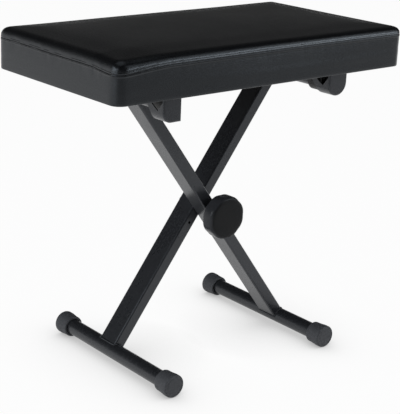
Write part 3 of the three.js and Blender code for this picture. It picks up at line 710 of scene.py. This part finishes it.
def modified(mesh, kind, **settings):
    holder = new_object("holder", mesh)
    change = holder.modifiers.new("change", kind)
    for name, value in settings.items():
        setattr(change, name, value)
    result = baked(holder)
    bpy.data.objects.remove(holder)
    return result


def clamped(value):
    return min(1.0, max(0.0, value))


def fade_between(value, near, far):
    share = clamped((value - far) / (near - far))
    return share * share * (3 - 2 * share)


print("ready to model")

# %% [markdown]
# ## The cushion, first as a plain block
# The cushion is a slab of foam on a board, with a vinyl cover pulled over it. The block starts
# a little smaller than the finished seat, because the cloth simulation swells it. Its
# upright edges are bevelled to the corner radius, then its top rim to the soft shoulder.

# %% Shape the block
SEAT_LENGTH = 0.560
SEAT_WIDTH = 0.306
SEAT_CORNER = 0.016
SHOULDER = 0.0120
HEM_ROUND = 0.002
CROWN = 0.003
BLOCK_INSET = 0.0006
SEAM_DROP = 0.0155

seat_low, seat_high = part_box("seat_cover")
SEAT_BOTTOM = seat_low.z
SEAT_RIM = seat_high.z - CROWN
SEAM = SEAT_RIM - SEAM_DROP


def rim_edges(bm, height):
    return [e for e in bm.edges if all(abs(v.co.z - height) < 1e-5 for v in e.verts)]


def bevelled(bm, edges, offset, segments):
    return bmesh.ops.bevel(
        bm, geom=edges, offset=offset, segments=segments, affect="EDGES", profile=0.5, material=-1,
    )["verts"]


def seat_block():
    bm = bmesh.new()
    bmesh.ops.create_cube(bm, size=1.0)
    size = (SEAT_LENGTH - BLOCK_INSET * 2, SEAT_WIDTH - BLOCK_INSET * 2, SEAT_RIM - SEAT_BOTTOM)
    bmesh.ops.scale(bm, verts=bm.verts, vec=size)
    bmesh.ops.translate(bm, verts=bm.verts, vec=(0, 0, (SEAT_RIM + SEAT_BOTTOM) / 2))
    upright = [e for e in bm.edges if abs(e.verts[0].co.z - e.verts[1].co.z) > size[2] / 2]
    bevelled(bm, upright, SEAT_CORNER, segments=9)
    bevelled(bm, rim_edges(bm, SEAT_RIM), SHOULDER, segments=6)
    bevelled(bm, rim_edges(bm, SEAT_BOTTOM), HEM_ROUND, segments=3)
    return bm


block = seat_block()
print("block faces:", len(block.faces), "seam at", round(SEAM * 1000, 1), "mm")

# %% [markdown]
# The sides of a sewn cushion pull in between its corners, because the cover is tight there.
# A smooth push towards the middle, strongest halfway along a side, gives that. The top gets a
# low crown: it falls away towards the edge, faster the nearer it comes.

# %% Pull the sides in and crown the top
CROWN_REACH = 0.095
TOP_DEPTH = 0.003
SIDE_PULL = 0.003
PULL_FADE = (0.006, 0.030)
CELL = 0.004


def edge_distance(point):
    return min(SEAT_LENGTH / 2 - abs(point.x), SEAT_WIDTH / 2 - abs(point.y))


def crown_height(point):
    return CROWN * (1 - (1 - clamped(edge_distance(point) / CROWN_REACH)) ** 2)


def pull_in(point):
    along_x = point.x / (SEAT_LENGTH / 2)
    along_y = point.y / (SEAT_WIDTH / 2)
    fade = clamped((point.z - SEAT_BOTTOM - PULL_FADE[0]) / PULL_FADE[1])
    point.x -= SIDE_PULL * fade * along_x ** 5 * max(0.0, 1 - along_y ** 2)
    point.y -= SIDE_PULL * fade * along_y ** 5 * max(0.0, 1 - along_x ** 2)


cushion_mesh = modified(as_mesh("seat_block", block), "REMESH", mode="VOXEL", voxel_size=CELL)
for vertex in cushion_mesh.vertices:
    vertex.co.z += crown_height(vertex.co) if vertex.co.z > SEAT_RIM - TOP_DEPTH else 0.0
    pull_in(vertex.co)
print("cushion cells:", len(cushion_mesh.polygons))

# %% [markdown]
# ## Blow the cushion up
# The cover could be shaped by hand, but a short cloth simulation gives the fullness of real
# padding. The cloth is held where it is sewn and where it is stapled under the board, and
# air pressure swells the rest. The rolled edge is tight over firm foam, so it is held too, less
# and less towards the middle. A point that has moved far is held back smoothly.

# %% Simulate the cover
STEPS = 20
REACH = 0.005
STAPLED_HEIGHT = 0.010
SEWN_CELLS = 0.55
HELD_RIM = (0.014, 0.050)
CLOTH_SETTINGS = {
    "quality": 5, "mass": 0.3, "use_pressure": True, "uniform_pressure_force": 4.0,
    "tension_stiffness": 60, "compression_stiffness": 60, "shear_stiffness": 30, "bending_stiffness": 6,
}


def hold_points(thing):
    held = thing.vertex_groups.new(name="held")
    for vertex in thing.data.vertices:
        height = vertex.co.z
        hold = 0.0
        if height < SEAT_BOTTOM + STAPLED_HEIGHT or abs(height - SEAM) < CELL * SEWN_CELLS:
            hold = 1.0
        elif height > SEAM:
            hold = fade_between(edge_distance(vertex.co), *HELD_RIM)
        if hold > 0.0:
            held.add([vertex.index], hold, "REPLACE")
    return held.name


def swell(mesh):
    thing = new_object("swelling", mesh)
    cloth = thing.modifiers.new("cover", "CLOTH")
    for name, value in CLOTH_SETTINGS.items():
        setattr(cloth.settings, name, value)
    cloth.settings.vertex_group_mass = hold_points(thing)
    cloth.settings.effector_weights.gravity = 0.0
    cloth.point_cache.frame_start = 1
    cloth.point_cache.frame_end = STEPS
    for step in range(1, STEPS + 1):
        bpy.context.scene.frame_set(step)
    result = baked(thing)
    bpy.data.objects.remove(thing)
    for before, after in zip(mesh.vertices, result.vertices):
        move = after.co - before.co
        after.co = before.co + move * (REACH / (REACH + move.length))
    bpy.context.scene.frame_set(1)
    return result


cushion_mesh = swell(cushion_mesh)
heights = [v.co.z for v in cushion_mesh.vertices]
print("top of the cushion:", round(max(heights) * 1000, 1), "mm")

# %% [markdown]
# One round of subdivision turns the cells into a smooth skin, fine enough for the seam.

# %% Refine the skin
cushion_mesh = modified(cushion_mesh, "SUBSURF", levels=1, render_levels=1)
print("refined faces:", len(cushion_mesh.polygons))

# %% [markdown]
# ## Sew the seam
# The top panel wraps over the shoulder and is sewn to the side band. In the photograph the
# seam is a thin dark line, and the folded edges inside it press up a thin ridge just below.
# The remesh would lose anything so narrow, so it is cut in now: flat planes add rows of
# points at exact heights, and each row moves in or out by its own small amount. The seam is
# pulled flatter on the left side, so its rows move less there.

# %% Cut the seam
SEAM_ROWS = {
    0.0030: 0.0,
    0.0016: 0.0002,
    0.0006: 0.0,
    0.0: -0.0003,
    -0.0006: 0.0001,
    -0.0014: 0.0006,
    -0.0026: 0.0004,
    -0.0040: 0.0001,
    -0.0060: 0.0,
}
LEFT_FLATNESS = 0.26
LEAST_SIDEWAYS = 0.2
CUT_MERGE = 2e-5
ROW_REACH = 3e-5


def outward_on_side(vertex):
    flat = Vector((vertex.normal.x, vertex.normal.y, 0))
    return flat.normalized() if flat.length > LEAST_SIDEWAYS else Vector((0, 0, 0))


def cut_level(bm, height, clear_below=False):
    return bmesh.ops.bisect_plane(
        bm, geom=bm.verts[:] + bm.edges[:] + bm.faces[:], dist=CUT_MERGE,
        plane_co=(0, 0, height), plane_no=(0, 0, 1), clear_inner=clear_below,
    )["geom_cut"]


def move_rows(bm):
    for vertex in bm.verts:
        for offset, push in SEAM_ROWS.items():
            if abs(vertex.co.z - SEAM - offset) < ROW_REACH:
                outward = outward_on_side(vertex)
                fullness = 1 - LEFT_FLATNESS * max(0.0, -outward.x)
                vertex.co += outward * push * fullness


cover = bmesh.new()
cover.from_mesh(cushion_mesh)
for offset in SEAM_ROWS:
    cut_level(cover, SEAM + offset)
cover.normal_update()
move_rows(cover)
print("seam rows:", len(SEAM_ROWS), "faces now:", len(cover.faces))

# %% [markdown]
# ## Puckers and soft folds
# Vinyl drawn into a seam gathers in faint, uneven puckers, and the band has slack folds that
# run along it. The top isn't quite flat either. All three come from smooth noise. Puckers are
# stretched across the seam and fade with the distance from it, and folds are stretched along it.

# %% Pucker the cover
PUCKER = 0.0005
PUCKER_BELOW = (0.001, 0.020)
PUCKER_ABOVE = (0.001, 0.011)
SLACK = 0.0003
SLACK_BAND = (0.05, 0.97)
DENT = 0.0006
DENT_SCALE = 6.5
TOP_FADE = 0.01


def ripple(point, sideways, upward, shift=0.0):
    place = Vector((point.x * sideways + shift, point.y * sideways, point.z * upward))
    return noise.noise(place)


def pucker_depth(point):
    drop = SEAM - point.z
    below = fade_between(drop, *PUCKER_BELOW) if drop > 0 else fade_between(-drop, *PUCKER_ABOVE)
    wave = ripple(point, 62, 9)
    fine = ripple(point, 140, 16, shift=7)
    return -below * max(0.0, wave * 1.1 + fine * 0.5) * PUCKER


def slack_depth(point):
    height = (point.z - SEAT_BOTTOM) / (SEAM - SEAT_BOTTOM)
    if not SLACK_BAND[0] < height < SLACK_BAND[1]:
        return 0.0
    return 4 * height * (1 - height) * ripple(point, 7, 95, shift=3) * SLACK


def dent_depth(point):
    return DENT * noise.noise(Vector((point.x * DENT_SCALE + 11, point.y * DENT_SCALE, 0.3)))


cover.normal_update()
for vertex in cover.verts:
    side = outward_on_side(vertex)
    facing_up = max(0.0, vertex.normal.z) ** 2
    vertex.co += side * (pucker_depth(vertex.co) + slack_depth(vertex.co)) * (1 - facing_up)
    on_top = facing_up * fade_between(vertex.co.z, SEAT_RIM, SEAT_RIM - TOP_FADE)
    vertex.co.z += dent_depth(vertex.co) * on_top
print("cover puckered")

# %% [markdown]
# ## Let the edge sink and the seam wander
# A cover that is pulled on by hand never sits quite level. In the photograph the seam and the
# rolled edge sink along the left side, most of all at the front corner, and the seam climbs a
# little along the front towards the right. The foam has also settled slightly along its rim.
# All of it is one smooth shift up or down, and the board and its hem stay where they are.

# %% Settle the edge and shift the seam
RIM_SINK = 0.0012
RIM_REACH = (0.004, 0.060)
SEAM_SINK = 0.0050
SINK_CORNER = (0.010, 0.095)
SINK_LEFT = (0.010, 0.070)
SINK_FROM = (-0.02, 0.12)
SINK_SHARE = 0.35
SEAM_CLIMB = 0.0034
CLIMB_LEFT = (0.006, 0.050)
CLIMB_FRONT = (0.006, 0.060)
CLIMB_FROM = (0.16, -0.24)
CLIMB_LEAST = 0.3
BAND_FOOT = 0.010
FRONT_LEFT = Vector((-SEAT_LENGTH / 2, -SEAT_WIDTH / 2))


def sink(point):
    offset = point.xy - FRONT_LEFT
    left = fade_between(offset.x, *SINK_LEFT) * fade_between(point.y, *SINK_FROM)
    return SEAM_SINK * max(SINK_SHARE * left, fade_between(offset.length, *SINK_CORNER))


def climb(point):
    offset = point.xy - FRONT_LEFT
    front = fade_between(offset.y, *CLIMB_FRONT) * (1 - fade_between(offset.x, *CLIMB_LEFT))
    rising = CLIMB_LEAST + (1 - CLIMB_LEAST) * fade_between(point.x, *CLIMB_FROM)
    return SEAM_CLIMB * front * rising


foot = SEAT_BOTTOM + BAND_FOOT
for vertex in cover.verts:
    place = vertex.co
    at_seam = clamped((place.z - foot) / (SEAM - foot))
    at_rim = clamped((place.z - SEAM) / (SEAT_RIM - SEAM))
    settled = RIM_SINK * fade_between(edge_distance(place), *RIM_REACH)
    place.z += (climb(place) * (1 - at_rim) - sink(place) * (1 - 0.5 * at_rim)) * at_seam
    place.z -= settled * at_rim
print("edge settled by up to", round((RIM_SINK + SEAM_SINK) * 1000, 1), "mm")

# %% [markdown]
# ## Turn the vinyl under
# Voxels round off any crisp edge, but the vinyl is stretched hard round the board's lower edge.
# So the skin is cut off a little above the underside, and its rim is extruded again: straight
# down, round a tight corner, and in under the board as a narrow hem. The last step goes up into
# the board, whose own face is what shows inside the hem.

# %% Turn the hem
HEM_CUT = 0.0085
HEM_ROWS = [
    (0.0045, 0.0), (0.0013, 0.00005), (0.0007, 0.0002), (0.0003, 0.0005), (0.0001, 0.0009),
    (0.0, 0.0014), (0.0, 0.0070), (0.0, 0.0124), (0.0003, 0.0130), (0.0070, 0.0132),
]


def edges_of(parts):
    return [part for part in parts if isinstance(part, bmesh.types.BMEdge)]


def turn_hem(bm):
    rim = edges_of(cut_level(bm, SEAT_BOTTOM + HEM_CUT, clear_below=True))
    bm.normal_update()
    outward = {vertex: outward_on_side(vertex) for edge in rim for vertex in edge.verts}
    start = {vertex: vertex.co.copy() for vertex in outward}
    for height, inward in HEM_ROWS:
        before = {vertex for edge in rim for vertex in edge.verts}
        made = bmesh.ops.extrude_edge_only(bm, edges=rim)["geom"]
        rim = [edge for edge in edges_of(made) if edge.is_boundary]
        fresh = {vertex for edge in rim for vertex in edge.verts}
        for old in before:
            new = next(e.other_vert(old) for e in old.link_edges if e.other_vert(old) in fresh)
            outward[new] = outward[old]
            start[new] = start[old]
            new.co = start[new] - outward[new] * inward
            new.co.z = SEAT_BOTTOM + height
    bmesh.ops.holes_fill(bm, edges=rim, sides=0)


turn_hem(cover)
cushion = make_piece("seat_cushion", cover, vinyl, "seat", sharp=50, recalculate=False)
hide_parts("seat_cover", "seat_foam")
report(cushion)

# %% [markdown]
# ## Staples in the hem
# The hem is stapled to the board every few centimetres. A staple shows as a short flat bar of
# wire. One bevelled bar is copied round the hem, each a little askew as a staple gun leaves it.

# %% Drive the staples
STAPLE = (0.0098, 0.0011, 0.0006)
STAPLE_EDGE = 0.0002
STAPLE_SINK = 0.0002
STAPLE_STEP = 0.036
STAPLE_INSET = 0.0092
CORNER_FREE = 0.8
ASKEW = 0.22


def staple_places():
    half_x = SEAT_LENGTH / 2 - STAPLE_INSET
    half_y = SEAT_WIDTH / 2 - STAPLE_INSET
    places = []
    for half, other, turn in ((half_x, half_y, 0.0), (half_y, half_x, math.pi / 2)):
        reach = half - SEAT_CORNER * CORNER_FREE
        count = round(2 * reach / STAPLE_STEP)
        for index in range(count + 1):
            along = -reach + 2 * reach * index / count
            for across in (-other, other):
                spot = (along, across) if turn == 0.0 else (across, along)
                places.append((spot, turn))
    return places


def add_staple(bm, spot, turn):
    made = bmesh.ops.create_cube(bm, size=1.0)["verts"]
    bmesh.ops.scale(bm, verts=made, vec=STAPLE)
    edges = {e for v in made for e in v.link_edges}
    made = bevelled(bm, list(edges), STAPLE_EDGE, segments=2)
    askew = ASKEW * noise.noise(Vector((spot[0] * 90, spot[1] * 90, 2.5)))
    turned = Matrix.Rotation(turn + askew, 4, "Z")
    matrix = Matrix.Translation((*spot, SEAT_BOTTOM - STAPLE_SINK)) @ turned
    whole = {v for start in made for f in start.link_faces for v in f.verts}
    bmesh.ops.transform(bm, matrix=matrix, verts=list(whole))


staples = bmesh.new()
for spot, turn in staple_places():
    add_staple(staples, spot, turn)
staples = make_piece("hem_staples", staples, zinc, "seat")
report(staples)

# %% [markdown]
# ## Steel with real edges
# The solids of the steel parts have the right shape, but their curves are made of flat strips.
# They could be modelled again, but a copy can't drift from the measured part. So each is
# copied, its doubles are merged, and its normals are weighted by area. Then the strips read as
# round, flat walls stay flat, and the rounded corners of the tube catch a thin line of light.

# %% Dress the steel parts
STEEL_MERGE = 1e-5
FLAT_WITHIN = math.radians(0.4)
STEEL_PARTS = {
    "rear_leg": ["rear_leg_tube", "rear_foot_bar", "rear_top_bar"],
    "front_leg": ["front_leg_tube", "front_foot_bar", "front_top_bar"],
    "seat": ["right_rear_saddle", "right_front_saddle", "left_rear_hook", "left_front_hook"],
}


def dressed_copy(node, body):
    bm = bmesh.new()
    bm.from_mesh(nodes[node].data)
    bmesh.ops.remove_doubles(bm, verts=bm.verts, dist=STEEL_MERGE)
    bmesh.ops.dissolve_limit(
        bm, angle_limit=FLAT_WITHIN, verts=bm.verts, edges=bm.edges, use_dissolve_boundaries=False,
    )
    piece = make_piece(
        node + "_coated", bm, powder_coat, body, sharp=40, recalculate=False,
    )
    weigh = piece.modifiers.new("even_walls", "WEIGHTED_NORMAL")
    weigh.keep_sharp = True
    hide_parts(node)
    return piece


for body, names in STEEL_PARTS.items():
    for name in names:
        report(dressed_copy(name, body))

# %% [markdown]
# ## Weld beads
# Each leg is welded to its foot bar and its top bar all round. A weld laid by hand is a row of
# overlapping ripples, like a fallen stack of coins. So small flattened balls are set one after
# another along the line where the leg's walls meet the round bar.

# %% Lay the weld beads
BAR_RADIUS = 0.0127
LEG_SECTION = (0.020, 0.0393)
LEG_CORNER = 0.003
CORNER_STEPS = 3
BEAD_STEP = 0.0017
BEAD_SIZE = (0.0014, 0.0021, 0.0019)
BEAD_WOBBLE = 0.14
BEAD_LEAN = Vector((0.3, 0.2, 0.93))


def middle_of(node):
    low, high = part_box(node)
    return (low + high) / 2


def mirrored(point):
    return Vector((-point.x, point.y, point.z))


def section_points():
    half_x = LEG_SECTION[0] / 2 - LEG_CORNER
    half_y = LEG_SECTION[1] / 2 - LEG_CORNER
    points = []
    for quarter, (side_x, side_y) in enumerate(((1, 1), (-1, 1), (-1, -1), (1, -1))):
        for index in range(CORNER_STEPS + 1):
            angle = (quarter + index / CORNER_STEPS) * math.tau / 4
            centre = Vector((side_x * half_x, side_y * half_y))
            points.append(centre + LEG_CORNER * Vector((math.cos(angle), math.sin(angle))))
    spaced = []
    for first, second in zip(points, points[1:] + points[:1]):
        count = max(1, round((second - first).length / BEAD_STEP))
        spaced += [first.lerp(second, index / count) for index in range(count)]
    return spaced


def add_bead(bm, place, ahead, wobble):
    made = bmesh.ops.create_uvsphere(bm, u_segments=8, v_segments=5, radius=1.0)["verts"]
    along = ahead.normalized()
    side = along.cross(BEAD_LEAN).normalized()
    turn = Matrix((along, side, along.cross(side))).transposed().to_4x4()
    scale = Matrix.Diagonal((*[value * (1 + wobble) for value in BEAD_SIZE], 1))
    bmesh.ops.transform(bm, matrix=Matrix.Translation(place) @ turn @ scale, verts=made)


def weld(bm, bar, leg_direction, leg_middle_y):
    across = Vector((0, 1, 0)).cross(leg_direction).normalized()
    line = []
    for point in section_points():
        rise = math.sqrt(BAR_RADIUS ** 2 - point.x ** 2)
        on_bar = Vector((bar.x, leg_middle_y + point.y, bar.z))
        line.append(on_bar + across * point.x + leg_direction * rise)
    for index, place in enumerate(line):
        ahead = line[(index + 1) % len(line)] - line[index - 1]
        add_bead(bm, place, ahead, BEAD_WOBBLE * noise.noise(place * 900))


def weld_leg(body, foot, top):
    bm = bmesh.new()
    middle_y = middle_of(body + "_tube").y
    direction = Vector((top.x - foot.x, 0, top.z - foot.z)).normalized()
    weld(bm, foot, direction, middle_y)
    weld(bm, top, -direction, middle_y)
    return make_piece(body + "_welds", bm, powder_coat, body, sharp=60)


foot_middle = middle_of("rear_foot_bar")
top_middle = middle_of("rear_top_bar")
report(weld_leg("rear_leg", foot_middle, top_middle))
report(weld_leg("front_leg", mirrored(foot_middle), mirrored(top_middle)))

# %% [markdown]
# ## Rubber feet
# Each end of a foot bar wears a rubber cap. It flares from a thick lip round the tube to a
# wider band on which the bench stands, and its end is a flat disc with a rounded rim. It is a
# turned shape, so its outline is drawn once and spun round the bar's axis.

# %% Turn the rubber feet
CAP_STEPS = 72
CAP_FACE = 0.148
CAP_HEIGHT = 0.0185
FOOT_CAP_OUTLINE = [
    (0.0, 0.0), (0.0110, 0.0), (0.0128, -0.00005), (0.0136, -0.0004), (0.0145, -0.0004), (0.0152, 0.0),
    (0.0163, -0.0001), (0.0174, -0.0005), (0.0181, -0.0013), (0.0185, -0.0026),
    (0.0185, -0.0085), (0.0184, -0.0098), (0.0181, -0.0112), (0.0174, -0.0195), (0.01715, -0.0245),
    (0.0172, -0.0262), (0.0169, -0.0274), (0.0163, -0.0279), (0.0145, -0.0280), (0.0134, -0.0277),
    (0.0131, -0.0265), (0.0131, -0.0060), (0.0, -0.0060),
]


def spun(outline):
    bm = bmesh.new()
    points = [bm.verts.new((radius, CAP_FACE + along, 0)) for radius, along in outline]
    lines = [bm.edges.new(pair) for pair in zip(points, points[1:])]
    bmesh.ops.spin(
        bm, geom=points + lines, cent=(0, 0, 0), axis=(0, 1, 0), angle=math.tau,
        steps=CAP_STEPS, use_merge=True,
    )
    bmesh.ops.remove_doubles(bm, verts=bm.verts, dist=MERGE)
    return bm


def foot_cap(node, body, bar_x, side):
    bm = spun(FOOT_CAP_OUTLINE)
    bmesh.ops.scale(bm, verts=bm.verts, vec=(1, side, 1))
    bmesh.ops.translate(bm, verts=bm.verts, vec=(bar_x, 0, CAP_HEIGHT))
    piece = make_piece(node + "_moulded", bm, rubber, body, sharp=40)
    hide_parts(node)
    return piece


for leg, bar in (("rear", foot_middle), ("front", mirrored(foot_middle))):
    for end, side in (("front", -1), ("back", 1)):
        report(foot_cap(f"{leg}_foot_cap_{end}", leg + "_leg", bar.x, side))

# %% [markdown]
# ## The clamp knob
# A player turns the knob to clamp the legs. Its rim has eight soft lobes for the hand. Circles
# of points are made from the bore's end round to the face, each with its own radius, place and
# depth of notch. Bridging each circle to the next gives the skin, and the two ends are filled.
# The knob's side is painted paler than its face, a painted light, and it is made less rough.

# %% Shape the knob
KNOB_POINTS = 128
KNOB_LOBES = 8
KNOB_NOTCH = 0.0010
NOTCH_SHARPNESS = 1.6
GRIP_EDGE = (-0.0719, -0.0703)
GRIP_POLISH = -0.22
GRIP_PAINTED_LIGHT = (0.040, 0.041, 0.045, 1)
pivot = Vector(frame["joints"][0]["pos_m"])
KNOB_RINGS = [
    (0.0062, -0.0698, 0.0), (0.0062, -0.0431, 0.0), (0.0124, -0.0431, 0.0), (0.0130, -0.0437, 0.0),
    (0.0130, -0.0480, 0.0), (0.0137, -0.0487, 0.0), (0.0290, -0.0487, 0.2), (0.0312, -0.0489, 0.5),
    (0.0331, -0.0497, 0.8), (0.0343, -0.0510, 1.0), (0.0347, -0.0528, 1.0), (0.0347, -0.0600, 1.0),
    (0.0347, -0.0664, 1.0), (0.0344, -0.0683, 1.0), (0.0336, -0.0699, 0.95), (0.0322, -0.0711, 0.8),
    (0.0302, -0.0718, 0.5), (0.0276, -0.0721, 0.2), (0.0237, -0.0722, 0.0), (0.0150, -0.0723, 0.0),
    (0.0070, -0.07235, 0.0),
]


def shape_ring(ring, radius, place, notch):
    for index, vertex in enumerate(ring):
        angle = math.tau * index / len(ring)
        dip = (0.5 + 0.5 * math.cos(KNOB_LOBES * angle)) ** NOTCH_SHARPNESS
        reach = radius - KNOB_NOTCH * notch * dip
        vertex.co = (reach * math.cos(angle), place, pivot.z + reach * math.sin(angle))


def shape_knob():
    bm = bmesh.new()
    loops = []
    for radius, place, notch in KNOB_RINGS:
        ring = bmesh.ops.create_circle(bm, segments=KNOB_POINTS, radius=radius)["verts"]
        shape_ring(ring, radius, place, notch)
        loops.append([edge for vertex in ring for edge in vertex.link_edges])
    for first, second in zip(loops, loops[1:]):
        bmesh.ops.bridge_loops(bm, edges=list(set(first + second)))
    bmesh.ops.holes_fill(bm, edges=bm.edges, sides=0)
    return bm


# Lowers the roughness of the grip's side and back, and paints them paler than the face as painted light.
def polish_grip_and_paint_light(material):
    tree = material.node_tree
    shader = next(node for node in tree.nodes if node.type == "BSDF_PRINCIPLED")
    place = next(node for node in tree.nodes if node.type == "TEX_COORD").outputs["Object"]
    grip = stretch(tree, one_axis(tree, place, "Y"), *GRIP_EDGE, smooth=True)
    matt = shader.inputs["Roughness"].links[0].from_socket
    black = shader.inputs["Base Color"].links[0].from_socket
    polished = calc(tree, "MULTIPLY_ADD", grip, GRIP_POLISH, matt)
    # The side and back get a paler colour than the face: painted light.
    pale = blend_colour(tree, grip, black, GRIP_PAINTED_LIGHT)
    feed(tree, shader.inputs, Roughness=polished, Base_Color=pale)


polish_grip_and_paint_light(knob_plastic)
knob = make_piece("clamp_knob_grip", shape_knob(), knob_plastic, "knob", sharp=45)
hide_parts("knob_body", "knob_cap")
report(knob)

# %% [markdown]
# ## Finishes for the parts that stay
# The remaining solids have the right shape as they are. Each gets its finish by its slot.

# %% Dress the remaining solids
FINISHES = {
    "vinyl": vinyl, "foam": foam, "plywood": plywood, "rubber": rubber, "nylon": nylon,
    "knob_plastic": knob_plastic, "coated_steel": powder_coat, "zinc_plated_steel": zinc, "brass": brass,
}

for part in frame["record"]["subparts"]:
    for slot in nodes[part["node"]].material_slots:
        slot.material = FINISHES[part["material_slot"]]
